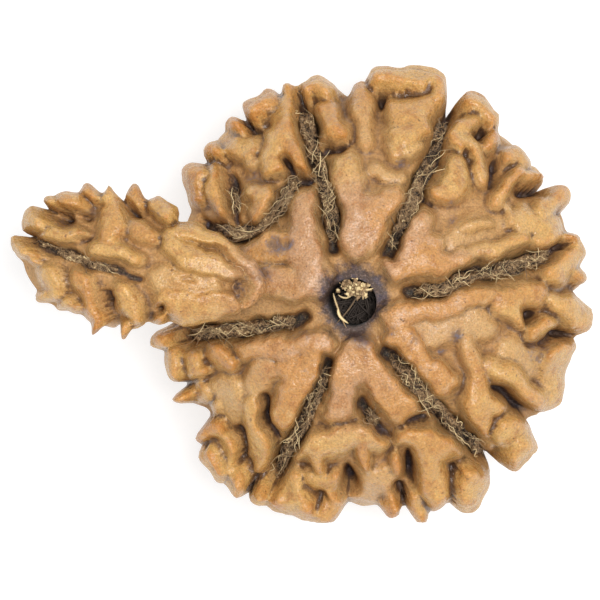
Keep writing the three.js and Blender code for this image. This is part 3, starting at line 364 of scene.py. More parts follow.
# The lobes of the slim seed that show from above, its long groove and its pits
SLIM_LOBES = (
    # The smooth pointed leaf at its nose, with two tongues lying on it
    [[-12.3, 3.6, 0.45, 0.1], [-10.8, 3.8, 0.45, 0.1], [-9, 3, 0.42, 0.1], [-7.3, 1.7, 0.42, 0.1]],
    [[-7.3, 1.7, 0.42, 0.1], [-6.6, 0.5, 0.45, 0.1], [-7.3, -0.6, 0.45, 0.05]],
    [[-12.5, -0.4, 0.7, 0], [-10.5, -0.7, 0.9, 0.1], [-8.5, -0.6, 0.6, 0.1]],
    [[-11.5, -1.5, 0.5, 0], [-9.5, -1.3, 0.5, 0]],
    [[-12.2, 3.1, 0.5, 0.2], [-11.4, 2.3, 0.7, 0.5], [-9.8, 1.7, 0.55, 0.55], [-8.3, 1.25, 0.42, 0.5]],
    [[-12.5, 0.9, 0.8, -0.3], [-10, 0.4, 0.8, -0.3]],
    # Knobs and ridges behind it
    [[-14.3, 5.9, 0.57, 0.4], [-14.3, 6.5, 0.3, 0.8]],
    [[-13.1, 5.6, 0.48, 0.9], [-12.4, 4.8, 0.48, 0.7]],
    [[-15.9, 5.3, 0.61, 0.2], [-15.7, 4, 0.61, 0.1], [-15.9, 3.4, 0.52, 0.1]],
    [[-16.8, 2.9, 0.39, 0.2], [-15.2, 2.5, 0.43, 0.3], [-14.2, 2.2, 0.35, 0.2]],
    [[-14.2, 4, 0.7, -0.3], [-13.4, 3.6, 0.43, -0.2]],
    [[-16.2, 6, 0.39, 0.5], [-16, 6.5, 0.26, 0.7]],
    [[-17.3, 6.3, 0.48, 0.9]],
    [[-18.7, 5.8, 0.48, 0.8], [-17.8, 5.5, 0.48, 0.6]],
    [[-19.5, 5.9, 0.3, 0.9]],
    [[-20.6, 4.6, 0.61, 0.7]],
    [[-19.8, 3.8, 0.39, 0.1], [-18.8, 3.6, 0.43, 0.1], [-17.6, 3.7, 0.35, 0]],
    [[-21.5, 3.1, 0.39, 0.6], [-21.3, 2.4, 0.35, 0.5]],
    [[-20.6, 2.3, 0.43, 0.1]],
    [[-19.6, 1.3, 0.7, 0.1], [-19.3, 0.3, 0.52, 0.1]],
    [[-20, -0.1, 0.35, 0.1]],
    [[-18.6, -0.6, 0.43, 0], [-18.1, -0.8, 0.35, 0.2]],
    [[-17.6, 1, 0.52, 0.1], [-17, -0.4, 0.48, 0.2], [-16.8, -1.5, 0.35, 0.8], [-17, -2.2, 0.17, 1.4]],
    [[-15.2, 0.2, 0.52, 0.1], [-14.6, -0.6, 0.61, 0.1], [-14.2, -1.3, 0.35, 0.5]],
    [[-14.8, -1.8, 0.3, 0.7], [-15.1, -2.4, 0.17, 1.4]],
    [[-12.9, -1.5, 0.43, 0.4]],
)

SLIM_GROOVES = (
    [[-21.2, 3.5, 0.3, 0.6], [-19.6, 2.9, 0.35], [-18.4, 2.4, 0.35], [-17, 1.9, 0.3], [-15.5, 1.4, 0.3],
    [-14, 1, 0.3]],
)

SLIM_PITS = (
    [1.2, [-7.8, 0.35, 0.36]],
    [0.6, [-10.4, 3.1, 0.15], [-8.8, 2.2, 0.18]],
    [0.25, [-11.5, 1, 0.14], [-10.9, 0.9, 0.12]],
    [0.5, [-14.4, 4.9, 0.3]],
    [0.9, [-18.5, 4.3, 0.25], [-19, 4.5, 0.2]],
    [1, [-17.2, 4.9, 0.3]],
    [0.7, [-19.4, 5, 0.15]],
    [1.2, [-16.1, 0.1, 0.2], [-15.9, -0.6, 0.25], [-15.8, -1.5, 0.3]],
    [0.9, [-12.9, -1, 0.25]],
)

# Dirt that clings to the upper side, and a painted shadow beside the slim seed's nose: X and Y from the
# large seed's centre, radius and strength
STAINS_AND_SHADOW = (
    (-5.9, 2.95, 0.75, 1),
    (-5.2, 3, 0.6, 0.9),
    # Painted shadow of the slim seed's leaf, beside its nose
    (-6.6, 1.3, 0.9, 0.7),
    (-4.9, 3.9, 1.4, 0.35),
    (-0.4, 6.6, 0.6, 0.6),
    (-0.2, 8.4, 0.8, 0.45),
    (1.75, 8.1, 0.6, 0.7),
    (-6.9, 6.8, 0.8, 0.55),
    (5, -2.4, 0.6, 0.9),
    (4.1, -3.4, 0.4, 0.8),
    (2.4, -2.6, 0.7, 0.6),
    (7.7, -2.3, 0.9, 0.45),
    (10, -3.4, 1.3, 0.6),
    (8.5, -6.6, 0.9, 0.4),
    (0.6, -8, 0.7, 0.6),
    (-0.7, -2.7, 1, 0.75),
    (1, -2.3, 0.7, 0.6),
    (-4.4, -2.2, 1, 0.5),
    (4.7, 5.4, 0.5, 0.75),
    (4.8, 4.5, 0.5, 0.6),
    (-7.3, 7.1, 0.8, 0.6),
    (10.6, 2.6, 0.8, 0.5),
    (-8.1, 0.3, 0.8, 0.7),
    (-13, 5, 0.6, 0.6),
    (-18.6, 4.4, 0.9, 0.6),
    (-17, 4.9, 0.6, 0.7),
)

# Pale threads in the stringing hole, from the middle of its upper rim: start, middle and end,
# then radius and shade
HOLE_THREADS = (
    (-1, 0.6, -0.7, -0.9, 0.1, -0.5, -0.6, -0.6, -0.8, 0.06, 0.75),
    (-0.7, -0.3, -0.7, -0.8, -0.8, -0.6, -0.1, -1.2, -1, 0.09, 0.95),
    (-0.8, 0.1, -0.7, -0.6, -0.8, -0.8, -0.2, -1.5, -1, 0.05, 0.6),
    (0.4, 0.4, -0.8, 0.1, -0.3, -1, -0.9, -1.3, -1.1, 0.05, 0.2),
    (0.2, 0.6, -0.7, -0.2, 0.1, -0.6, -0.7, 0.5, -0.7, 0.06, 0.8),
    (1.4, 0.9, -0.5, 0.9, 0.7, -0.3, 0.3, 0.9, -0.5, 0.07, 0.9),
)

# Ends of the bed of a pit that is drawn as one point, in its half-widths
LONE_PIT_ENDS = ((-0.7, 0.0), (0.7, 0.0))


def draw(number: int, reach: float) -> float:
    """Repeatable draw for a whole number, from -reach to reach: the far digits of a sine."""
    wave = math.sin((number + RANDOM_SEED) * DRAW_WAVE) * DRAW_SCALE
    return (wave - math.floor(wave) - 0.5) * 2 * reach


def draws(number: int, *reaches: float) -> list[float]:
    """Repeatable draws for a whole number, one for each reach."""
    return [draw(number + DRAW_STEP * place, reach) for place, reach in enumerate(reaches)]


def unit(vectors: Array) -> Array:
    """Vectors scaled to a length of one along their last axis."""
    return vectors / np.linalg.norm(vectors, axis=-1, keepdims=True)


def between(a: Array, b: Array, share: float) -> Array:
    """Direction at a share of the way from one direction to another."""
    return unit(a + (b - a) * share)


def smooth_step(values: Array, low: float, high: float) -> Array:
    """Values eased from 0 at the low end to 1 at the high end: t squared times 3 minus 2 t."""
    t = np.clip((values - low) / (high - low), 0.0, 1.0)
    return t * t * (3 - 2 * t)


def ripple(places: Array) -> Array:
    """Slow waves, so that nothing is quite smooth: a product of two sines and a third sine."""
    first, second, third = (np.sin(places @ np.array(wave)) for wave in RIPPLE_WAVES)
    return RIPPLE * (first * second + RIPPLE_THIRD * third)


def swayed(places: Array) -> Array:
    """Places seen from above, shifted a little, so that no edge is drawn with a ruler.

    Each axis moves by a sum of sines that run in turning directions, each shorter than the
    last and weaker in step with its length.

    Args:
        places: places, one a row.

    Returns:
        The shifted places.
    """
    shift = np.zeros_like(places)
    for number in range(2 * SWAY_WAVES):
        wave, axis = divmod(number, 2)
        length = SWAY_LENGTH / SWAY_SHRINK**wave
        angle = draw(SWAY_ANGLES + number, math.pi)
        run = places @ np.array([math.cos(angle), math.sin(angle)]) * 2 * math.pi / length
        shift[:, axis] += SWAY * length / SWAY_LENGTH * np.sin(run + draw(SWAY_STARTS + number, math.pi))
    return places + shift


@dataclass(frozen=True)
class Chain:
    """Points along a lobe's crest or a groove's bed, in the plane seen from above or in space."""

    at: Array
    width: Array
    top: Array

    def crest(self, places: Array, heights: Array, power: float) -> Array:
        """Height that the chain raises over each place.

        Along each stretch the distance d to its nearest point and the half-width w there
        give, with r = d / w, the height over 1 + DOME r r + r to the power given; the highest
        stretch counts.

        Args:
            places: places in the chain's own plane or space, one a row.
            heights: height at each of the chain's points.
            power: how steep the edges are.

        Returns:
            One height for each place.
        """
        raised = np.zeros(len(places))
        for i in range(max(1, len(self.at) - 1)):
            j = min(i + 1, len(self.at) - 1)
            along = self.at[j] - self.at[i]
            offset = places - self.at[i]
            share = np.clip(offset @ along / max(along @ along, TINY), 0.0, 1.0)
            width = self.width[i] + share * (self.width[j] - self.width[i])
            away = np.linalg.norm(offset - share[:, None] * along, axis=1) / width
            height = heights[i] + share * (heights[j] - heights[i])
            raised = np.maximum(raised, height / (1 + DOME * away**2 + away**power))
        return raised

    def reach(self) -> float:
        """Distance from a place on the chain past which it raises next to nothing."""
        return REACH * self.width.max()


@dataclass
class Relief:
    """What a seed's relief says about each place: heights in millimetres, shares from 0 to 1."""

    height: Array
    groove: Array
    pit: Array
    tint: Array


@dataclass
class ReliefRule:
    """Lobes, grooves and pits, and how they blend into one height over the envelope."""

    floor: float
    groove_depth: float
    lobes: list[Chain] = field(default_factory=list)
    grooves: list[Chain] = field(default_factory=list)
    pits: list[tuple[float, Chain]] = field(default_factory=list)
    tint_fade: float = 0.001

    def over(self, places: Array) -> Relief:
        """Relief over places in the chains' own plane or space.

        The lobes' heights over the floor are blended by a power mean, then the pits are taken
        off, and the grooves pull what is left down to their depth.

        Args:
            places: places, one a row.

        Returns:
            Height over the envelope, shares of groove and pit, and the nearest lobes' tint.
        """
        total, tint, pit, sunk, groove = np.zeros((5, len(places)))
        for number, chain in enumerate(self.lobes):
            near = self.near(chain, places)
            part = chain.crest(places[near], self.floor + chain.top, LOBE_POWER) ** BLEND_POWER
            total[near] += part
            tint[near] += part * draw(TINT_NUMBERS + number, 1.0)
        for depth, chain in self.pits:
            near = self.near(chain, places)
            share = chain.crest(places[near], np.ones(len(chain.at)), GROOVE_POWER)
            pit[near] = np.maximum(pit[near], share * min(1.0, depth / DARK_PIT))
            sunk[near] += depth * share
        for chain in self.grooves:
            near = self.near(chain, places)
            share = chain.crest(places[near], chain.top, GROOVE_POWER)
            groove[near] = np.maximum(groove[near], share)
        height = total ** (1 / BLEND_POWER) - self.floor - sunk
        bed = np.minimum(height, -self.groove_depth)
        return Relief(height + (bed - height) * groove, groove, pit, tint / (total + self.tint_fade))

    @staticmethod
    def near(chain: Chain, places: Array) -> Array:
        """Numbers of the places that the chain can reach, by a ball round its middle."""
        middle = chain.at.mean(axis=0)
        reach = np.linalg.norm(chain.at - middle, axis=1).max() + chain.reach()
        return np.flatnonzero(((places - middle) ** 2).sum(axis=1) < reach * reach)


@dataclass
class Raster:
    """Relief seen from above, worked out once on a raster of places and read between them."""

    rule: ReliefRule
    pitch: float = 0.03
    margin: float = 2.0
    last_cell: float = 1.001
    corner: Array = field(init=False)
    layers: Array = field(init=False)

    def __post_init__(self) -> None:
        """Works the relief out at every crossing of the raster."""
        ends = np.concatenate([chain.at for chain in self.rule.lobes + self.rule.grooves])
        self.corner = ends.min(axis=0) - self.margin
        count = np.ceil((ends.max(axis=0) + self.margin - self.corner) / self.pitch).astype(int)
        x = self.corner[0] + self.pitch * np.arange(count[0])
        y = self.corner[1] + self.pitch * np.arange(count[1])
        places = np.stack(np.meshgrid(x, y, indexing="ij"), axis=-1)
        relief = self.rule.over(swayed(places.reshape(-1, 2)))
        values = np.stack([relief.height, relief.groove, relief.pit, relief.tint])
        self.layers = values.reshape(4, *count)

    def read(self, places: Array, layers: slice = slice(None)) -> Array:
        """Layers at places, by the shares of the four nearest crossings.

        Args:
            places: places seen from above, one a row.
            layers: which of height, groove, pit and tint are read.

        Returns:
            Layers by places.
        """
        spot = (places - self.corner) / self.pitch
        spot = np.clip(spot, 0.0, np.array(self.layers.shape[1:]) - self.last_cell)
        cell = spot.astype(int)
        sx, sy = (spot - cell).T
        i, j = cell.T
        values = self.layers[layers]
        low = values[:, i, j] * (1 - sy) + values[:, i, j + 1] * sy
        high = values[:, i + 1, j] * (1 - sy) + values[:, i + 1, j + 1] * sy
        return low * (1 - sx) + high * sx


@dataclass
class Seed:
    """One seed's envelope, where it stands, and the relief on its upper and lower sides.

    Directions are unit vectors in the seed's own frame, with the envelope squeezed to a unit
    sphere, and all sizes are in millimetres.
    """

    semi_axes: Array
    upper: ReliefRule
    lower: ReliefRule
    centre: Array = field(default_factory=lambda: np.zeros(3))
    heading: float = 0.0
    tilt: float = 0.0
    taper: float = 0.0
    raster: Raster = field(init=False)

    def __post_init__(self) -> None:
        """Works the upper relief out on its raster."""
        self.raster = Raster(self.upper)

    def envelope(self, directions: Array) -> Array:
        """Envelope's points: an ellipsoid, thinner towards +X where the seed tapers."""
        thin = 1 - self.taper * directions[..., :1]
        squeezed = np.concatenate([directions[..., :1], directions[..., 1:] * thin], axis=-1)
        return squeezed * self.semi_axes

    def place(self, directions: Array, share: Array) -> Array:
        """Points on the directions' rays, at shares of the way out to the envelope.

        The rays don't start from one centre but spread from a flat disc, so that they stand
        steeper: level coordinates are scaled by SPREAD + share (1 - SPREAD), heights by share.
        """
        level = (SPREAD + share * (1 - SPREAD))[..., None]
        return self.envelope(directions) * np.concatenate([level, level, share[..., None]], axis=-1)

    def ray_length(self, directions: Array) -> Array:
        """Length of the directions' rays, from the disc to the envelope."""
        from_disc = np.array([1 - SPREAD, 1 - SPREAD, 1.0])
        return np.linalg.norm(self.envelope(directions) * from_disc, axis=-1)

    def direction_of(self, points: Array) -> Array:
        """Directions of the rays that points of the seed's own frame lie on, by halving.

        Args:
            points: points of the seed's own frame.

        Returns:
            Unit directions.
        """
        low = np.full(points.shape[:-1], TINY)
        high = np.full(points.shape[:-1], FARTHEST)
        for _ in range(HALVINGS):
            share = (low + high) / 2
            squeezed = self.unplaced(points, share)
            beyond = (squeezed * squeezed).sum(axis=-1) > 1
            low, high = np.where(beyond, share, low), np.where(beyond, high, share)
        return unit(self.unplaced(points, (low + high) / 2))

    def unplaced(self, points: Array, share: Array) -> Array:
        """Points scaled back, so that those at the given share of their ray get a length of 1."""
        level = (SPREAD + share * (1 - SPREAD))[..., None]
        squeezed = points / self.semi_axes / np.concatenate([level, level, share[..., None]], axis=-1)
        thin = np.maximum(1 - self.taper * squeezed[..., :1], LEAST_THICKNESS)
        return np.concatenate([squeezed[..., :1], squeezed[..., 1:] / thin], axis=-1)

    def direction_seen_at(self, x: float, y: float) -> Array:
        """Direction of the upright envelope's place that shows at (x, y) from above, or its rim."""
        flat = np.array([x, y]) / self.semi_axes[:2]
        flat *= min(1.0, EDGE_OF_VIEW / max(np.linalg.norm(flat), TINY))
        return np.array([flat[0], flat[1], math.sqrt(1 - flat @ flat)])

    def chain(self, points: list[tuple]) -> Chain:
        """Chain on the envelope from rows of direction, half-width and top."""
        at = self.envelope(np.array([point[0] for point in points]))
        return Chain(at, *np.array([point[1:] for point in points], float).T)

    def turned(self, points: Array) -> Array:
        """Points of the seed's own frame, tilted nose up, turned and moved to its centre.

        Args:
            points: points of the seed's own frame.

        Returns:
            Points from the large seed's centre.
        """
        ct, st = math.cos(self.tilt), math.sin(self.tilt)
        ch, sh = math.cos(self.heading), math.sin(self.heading)
        x, y, z = np.moveaxis(points, -1, 0)
        forward, rise = x * ct - z * st, x * st + z * ct
        level = np.stack([forward * ch - y * sh, forward * sh + y * ch, rise], axis=-1)
        return level + self.centre

    def unturned(self, points: Array) -> Array:
        """Points back in the seed's own frame, the reverse of turned.

        Args:
            points: points from the large seed's centre.

        Returns:
            Points of the seed's own frame.
        """
        ct, st = math.cos(self.tilt), math.sin(self.tilt)
        ch, sh = math.cos(self.heading), math.sin(self.heading)
        x, y, z = np.moveaxis(points - self.centre, -1, 0)
        forward, side = x * ch + y * sh, y * ch - x * sh
        return np.stack([forward * ct + z * st, side, z * ct - forward * st], axis=-1)

    def stand(self, points: Array) -> Array:
        """Points of the seed's own frame in the part's frame."""
        return self.turned(points) - np.array([*FOOTPRINT_CENTRE, -REST_HEIGHT])

    def surface(self, directions: Array) -> tuple[Array, Relief]:
        """Surface's points and relief.

        Each direction is followed inwards from outside the envelope, in even steps, to the
        first place whose height over it is no more than the relief there; between two steps
        the place is where a straight line through both crosses. The upper relief is the one
        drawn as seen from above, so it is read at that place; the lower one belongs to the
        direction.

        Args:
            directions: unit directions, one a row.

        Returns:
            Points, and the relief at them.
        """
        places = self.envelope(directions)
        length = self.ray_length(directions)
        share = smooth_step(directions[:, 2], *HANDOVER)
        side = 1 - smooth_step(directions[:, 2], *NOTCH_FADE)
        below = self.lower.over(places)
        waves = ripple(places)

        def share_at(height: Array) -> Array:
            """Share of each ray at a height over the envelope."""
            return np.maximum(1 + height / length, DEEPEST)

        def lack(height: Array) -> Array:
            """How far the relief stays under a height on each ray."""
            seen = self.notched(self.turned(self.place(directions, share_at(height))), side)
            drawn = self.raster.read(seen, slice(0, 1))[0]
            return height - waves - below.height - (drawn - below.height) * share

        outer = np.full(len(places), MARCH_FROM)
        lack_outer = lack(outer)
        height = np.full(len(places), MARCH_TO)
        open_ones = np.ones(len(places), bool)
        for step in range(1, MARCH_STEPS + 1):
            level = np.full(len(places), MARCH_FROM + (MARCH_TO - MARCH_FROM) * step / MARCH_STEPS)
            lack_level = lack(level)
            found = open_ones & (lack_level <= 0)
            cut = lack_outer / np.maximum(lack_outer - lack_level, TINY)
            height = np.where(found, outer + (level - outer) * cut, height)
            open_ones &= ~found
            outer, lack_outer = level, lack_level
        points = self.place(directions, share_at(height))
        seen = self.raster.read(self.notched(self.turned(points), side))
        values = [low + (high - low) * share for low, high in zip(
            (below.height, below.groove, below.pit, below.tint), seen)]
        return points, Relief(height, *values[1:])

    def notched(self, points: Array, side: Array) -> Array:
        """Places seen from above where the drawn relief is read, further out in each notch.

        Notches part the lobes on the steep sides across: the shift outwards is the depth times
        1 - |sin(pi z / spacing + turn)|, where the turn is a sum of slow sines of x and y.

        Args:
            points: points over the large seed's centre, one a row.
            side: how far each of them has notches, from 0 to 1.

        Returns:
            Places, one a row.
        """
        plan = points[:, :2]
        turn = sum(size * np.sin(plan @ np.array([x, y]) + start) for size, x, y, start in NOTCH_WAVES)
        notch = 1 - np.abs(np.sin(math.pi * points[:, 2] / NOTCH_SPACING + turn))
        away = plan - self.centre[:2]
        length = np.maximum(np.linalg.norm(away, axis=1), 1.0)
        shift = NOTCH_DEPTH * self.upper.floor * side * notch / length
        return plan + away * shift[:, None]


def drawn_rule(floor: float, groove: float, lobes: tuple, grooves: tuple, pits: tuple) -> ReliefRule:
    """Upper relief from its lists, in the plane seen from above.

    Args:
        floor: how far floors lie under the envelope.
        groove: how far the beds of grooves do.
        lobes: points of each lobe.
        grooves: points of each groove.
        pits: depth and points of each pit.

    Returns:
        The rule.
    """

    def chain(points: list[list[float]], widen: float = 1.0) -> Chain:
        """Chain from rows of x, y, half-width and top, which is 1 where a row has none."""
        rows = np.array([(*point, 1.0)[:4] for point in points], float)
        return Chain(rows[:, :2], rows[:, 2] * widen, rows[:, 3])

    return ReliefRule(
        floor,
        groove,
        [chain(points, LOBE_WIDEN) for points in lobes],
        [chain(points, GROOVE_CRISPNESS) for points in grooves],
        [(depth, chain(points)) for depth, *points in pits],
    )


@dataclass
class Skin:
    """A seed's surface on a grid of rows from end to end and columns around, in the seed's frame."""

    seed: Seed
    directions: Array
    settling_rounds: int = 12
    smoothing_rounds: int = 2
    settling_step: float = 0.45
    softening_rounds: int = 4
    bend_rounds: int = 24
    crease_rounds: int = 4
    relief: Relief = field(init=False)

    def surface(self) -> Array:
        """Surface's points for the grid's directions."""
        points, self.relief = self.seed.surface(self.directions.reshape(-1, 3))
        return points.reshape(self.directions.shape)

    def settled(self) -> Array:
        """Surface's points, closed up on the steep sides of the lobes.

        In each settling round the points are evened, and carried back out to the surface in
        the direction in which they then lie. A few rounds of evening alone come last.

        Returns:
            Points, rows by columns.
        """
        points = self.surface()
        for _ in range(self.settling_rounds):
            self.directions = self.seed.direction_of(self.evened(points))
            points = self.surface()
        for _ in range(self.smoothing_rounds):
            points = self.evened(points)
        return points

    def evened(self, points: Array) -> Array:
        """Points moved part of the way to their neighbours' middle, but for the end rows."""
        moved = points + self.settling_step * (neighbours_middle(points) - points)
        moved[[0, -1]] = points[[0, -1]]
        return moved

    def softened(self, values: Array) -> Array:
        """Values on the grid, evened out with their neighbours in a few rounds."""
        grid = values.reshape(self.directions.shape[:2])
        for _ in range(self.softening_rounds):
            grid = (grid + neighbours_middle(grid)) / 2
        return grid.ravel()

    def shares(self, points: Array) -> dict[str, Array]:
        """Point attributes that the finish reads: the relief, and the bend of the surface.

        Args:
            points: the settled surface, rows by columns.

        Returns:
            One value for each grid point, by the attribute's name.
        """
        relief = self.relief
        return {
            "rise": self.softened(relief.height / self.seed.upper.floor + 1),
            "groove": self.softened(relief.groove),
            "pit": self.softened(relief.pit),
            "tint": relief.tint,
            "bend": bend_of(points, self.bend_rounds).ravel(),
            "crease": bend_of(points, self.crease_rounds).ravel(),
        }


def neighbours_middle(points: Array) -> Array:
    """Middle of each grid point's four neighbours; the end rows count as their own neighbours."""
    tall = np.concatenate([points[:1], points, points[-1:]])
    across = np.roll(points, 1, axis=1) + np.roll(points, -1, axis=1)
    return (tall[:-2] + tall[2:] + across) / 4


def normals_of(points: Array) -> Array:
    """Outward unit normals of a grid: the cross product of its two differences.

    Args:
        points: rows by columns.

    Returns:
        Unit normals, rows by columns.
    """
    down = np.gradient(points, axis=0)
    across = np.roll(points, -1, axis=1) - np.roll(points, 1, axis=1)
    normals = unit(np.cross(down, across) + TINY)
    outward = np.sign((normals * points).sum(axis=-1).mean())
    return normals * outward


def bend_of(points: Array, rounds: int) -> Array:
    """How far each point stands over the surface smoothed in some rounds, in millimetres.

    Args:
        points: rows by columns.
        rounds: how often each point is moved half-way to its neighbours' middle.

    Returns:
        One height for each point, rows by columns.
    """
    smoothed = points
    for _ in range(rounds):
        smoothed = (smoothed + neighbours_middle(smoothed)) / 2
    return ((points - smoothed) * normals_of(smoothed)).sum(axis=-1)


def kept_in_box(points: Array) -> Array:
    """Points in millimetres, moved no further out than the solid's box; this flattens the foot."""
    low, high = np.array(SOLID_BOX) / MM
    return np.clip(points, low, high)


def stain_and_shadow_at(points: Array) -> Array:
    """Share of dirt and painted shadow on the upper side: the strongest of the stains, which fade out as
    bell curves.

    Args:
        points: points of the part, in millimetres.

    Returns:
        One share for each point.
    """
    share = np.zeros(len(points))
    plan = points[:, :2] + FOOTPRINT_CENTRE
    for *spot, radius, strength in STAINS_AND_SHADOW:
        away = np.linalg.norm(plan - spot, axis=1)
        share = np.maximum(share, strength * np.exp(-((away / radius) ** 2)))
    return share * (points[:, 2] > REST_HEIGHT)


def grid_faces(rows: int, columns: int, closed_rows: bool) -> Array:
    """Quads of a grid whose columns close on themselves, and its rows too where asked.

    Args:
        rows: rows of the grid.
        columns: columns of the grid.
        closed_rows: whether the last row joins the first.

    Returns:
        Four numbers of points a row.
    """
    count = rows if closed_rows else rows - 1
    row, column = np.meshgrid(np.arange(count), np.arange(columns), indexing="ij")
    below, beside = (row + 1) % rows, (column + 1) % columns
    row, below = row * columns, below * columns
    return np.stack([row + column, below + column, below + beside, row + beside], axis=-1).reshape(-1, 4)


def make_mesh(name: str, points: Array, faces: list, shares: dict[str, Array]) -> Piece:
    """Smooth-shaded mesh object from points in millimetres, with a point attribute for each share.

    Args:
        name: its name.
        points: its points, one a row.
        faces: numbers of points for each face.
        shares: one value for each point, by the attribute's name.

    Returns:
        The object, linked to the scene.
    """
    mesh = bpy.data.meshes.new(name)
    mesh.from_pydata((points * MM).tolist(), [], faces)
    mesh.polygons.foreach_set("use_smooth", np.ones(len(mesh.polygons), bool))
    for key, values in shares.items():
        attribute = mesh.attributes.new(key, "FLOAT", "POINT")
        attribute.data.foreach_set("value", np.asarray(values, np.float32))
    mesh.update()
    piece = bpy.data.objects.new(name, mesh)
    bpy.context.scene.collection.objects.link(piece)
    return piece


@dataclass
class Part:
    """Part of the dressed seed, made as one piece."""

    name: str

    def build(self) -> Piece:
        """Piece of the part."""
        raise NotImplementedError

    def dress(self, piece: Piece, material: Material) -> None:
        """Gives the piece its finish and ties it to the seed."""
        piece.data.materials.append(material)
        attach(piece, BODY)


@dataclass
class Shell(Part):
    """Skin of a seed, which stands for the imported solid."""

    seed: Seed = field(init=False)

    def __post_init__(self) -> None:
        """Works the seed's shape out."""
        self.seed = self.shape()

    def shape(self) -> Seed:
        """Envelope and relief of the seed."""
        raise NotImplementedError

    def dress(self, piece: Piece, material: Material) -> None:
        """Dresses the skin as any part, and lets it stand for the solid."""
        super().dress(piece, material)
        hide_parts(NODE)


@dataclass
class LargeSeed(Shell):
    """The large seed: seven faces of forked plates and knobs, and the stringing hole.

    The underside follows a rule. Its places are shares of the way down from the rim to the
    hole's lower end, and across a face. The draws for a knob are how far it may shift across,
    in width, in top and down, and how far its lower end may shift down and across.
    """

    knob_tiers: tuple[float, ...] = (0.2, 0.34, 0.47, 0.58)
    knob_spacing: float = 3.3
    knob_top: float = -0.2
    knob_width: float = 0.9
    knob_length: float = 0.05
    knob_taper: float = 0.85
    knob_draws: tuple[float, ...] = (0.12, 0.15, 0.3, 0.03, 0.04, 0.09)
    plate_fork: float = 0.67
    plate_neck: float = 0.88
    plate_tips: Pair = (0.27, 0.73)
    plate_widths: Pair = (0.9, 0.8)
    groove_steps: tuple[float, ...] = (0, 0.2, 0.4, 0.6, 0.8, 0.93)
    groove_width: float = 0.5
    columns: int = 462
    rows: int = 206
    bore_rows: int = 8
    crowding: float = 1.75

    def shape(self) -> Seed:
        """Upright seed, with its grooves run on below to the hole's lower end.

        Returns:
            The seed.
        """
        upper = drawn_rule(
            LARGE_FLOOR, LARGE_GROOVE, LARGE_LOBES, LARGE_GROOVES, LARGE_PITS + LARGE_DEEPER)
        lower = ReliefRule(LARGE_FLOOR, LARGE_GROOVE)
        seed = Seed(np.array([LARGE_RADIUS, LARGE_RADIUS, LARGE_HALF_HEIGHT]), upper, lower)
        lower_end = -seed.direction_seen_at(*HOLE_AT)
        rims = [unit(np.array([*points[-1][:2], 0.0])) for points in LARGE_GROOVES]
        for face, rim in enumerate(rims):
            self.add_face(seed, face, (rim, rims[(face + 1) % len(rims)]), lower_end)
        return seed

    def add_face(self, seed: Seed, face: int, rims: tuple[Array, Array], lower_end: Array) -> None:
        """Adds one groove, the knobs and the forked plate of a face's underside.

        Args:
            seed: the seed.
            face: the face's number.
            rims: directions of the grooves at the rim on both sides of the face.
            lower_end: direction of the hole's lower end.
        """

        def at(down: float, across: float) -> Array:
            """Direction at a share of the way down and across the face."""
            return between(*(between(rim, lower_end, down) for rim in rims), across)

        lower = seed.lower
        bed = [(at(down, 0), self.groove_width, 1.0) for down in self.groove_steps]
        lower.grooves.append(seed.chain(bed))
        for tier, down in enumerate(self.knob_tiers):
            arc = math.acos(float(at(down, 0) @ at(down, 1))) * LARGE_RADIUS
            count = math.floor(arc / self.knob_spacing + 0.5)
            for knob in range(count):
                number = NUMBERS_A_FACE * face + NUMBERS_A_TIER * tier + knob
                shift, wider, higher, fall, run, lean = draws(number, *self.knob_draws)
                across = (knob + 0.5 + shift) / count
                width, top = self.knob_width + wider, self.knob_top + higher
                start = at(down + fall, across)
                end = at(down + self.knob_length + run, across + lean)
                crest = [(start, width, top), (end, self.knob_taper * width, top)]
                lower.lobes.append(seed.chain(crest))
        tip_width, neck_width = self.plate_widths
        for side in self.plate_tips:
            fork = [(at(self.plate_fork, side), tip_width, 0), (at(self.plate_neck, 0.5), neck_width, 0)]
            lower.lobes.append(seed.chain(fork))

    def axis_frame(self) -> Array:
        """Rows of two directions across the hole's axis and the axis itself."""
        axis = self.seed.direction_seen_at(*HOLE_AT)
        side = unit(np.cross(axis, (0.0, 1.0, 0.0)))
        return np.stack([side, np.cross(axis, side), axis])

    def build(self) -> Piece:
        """Outside from the upper rim down to the lower one, then the bore back up.

        The rows are circles round the hole's axis, at even steps raised to a power, so that
        they crowd near the hole; the columns are even steps round it.

        Returns:
            The skin.
        """
        basis = self.axis_frame()
        rim = math.asin(HOLE_RADIUS / LARGE_RADIUS)
        down = np.linspace(0, 1, self.rows)[:, None] ** self.crowding
        polar = rim + (math.pi - 2 * rim) * down
        around = np.linspace(0, 2 * math.pi, self.columns, endpoint=False)[None]
        ring = np.stack([np.cos(around), np.sin(around), np.zeros_like(around)], axis=-1)
        upright = np.sin(polar)[..., None] * ring + np.cos(polar)[..., None] * UP
        skin = Skin(self.seed, upright @ basis)
        outside = skin.settled()
        reach = np.linspace(-BORE_REACH, BORE_REACH, self.bore_rows)[:, None, None]
        inner = HOLE_INNER_RADIUS / LARGE_RADIUS
        bore = ((inner * ring + reach * UP) @ basis) * self.seed.semi_axes
        points = np.concatenate([outside, bore])
        outside_count, bore_count = (part.shape[0] * part.shape[1] for part in (outside, bore))
        in_bore = np.zeros(bore_count)
        shares = {key: np.append(values, in_bore) for key, values in skin.shares(outside).items()}
        from_axis = np.linalg.norm(np.cross(points / self.seed.semi_axes, basis[2]), axis=-1) * LARGE_RADIUS
        shares["from_hole"] = from_axis.ravel()
        shares["hole"] = np.append(np.zeros(outside_count), np.ones(bore_count))
        faces = grid_faces(len(points), self.columns, closed_rows=True)
        points = kept_in_box(self.seed.stand(points).reshape(-1, 3))
        shares["stain_and_shadow"] = stain_and_shadow_at(points)
        return make_mesh(self.name, points, faces.tolist(), shares)


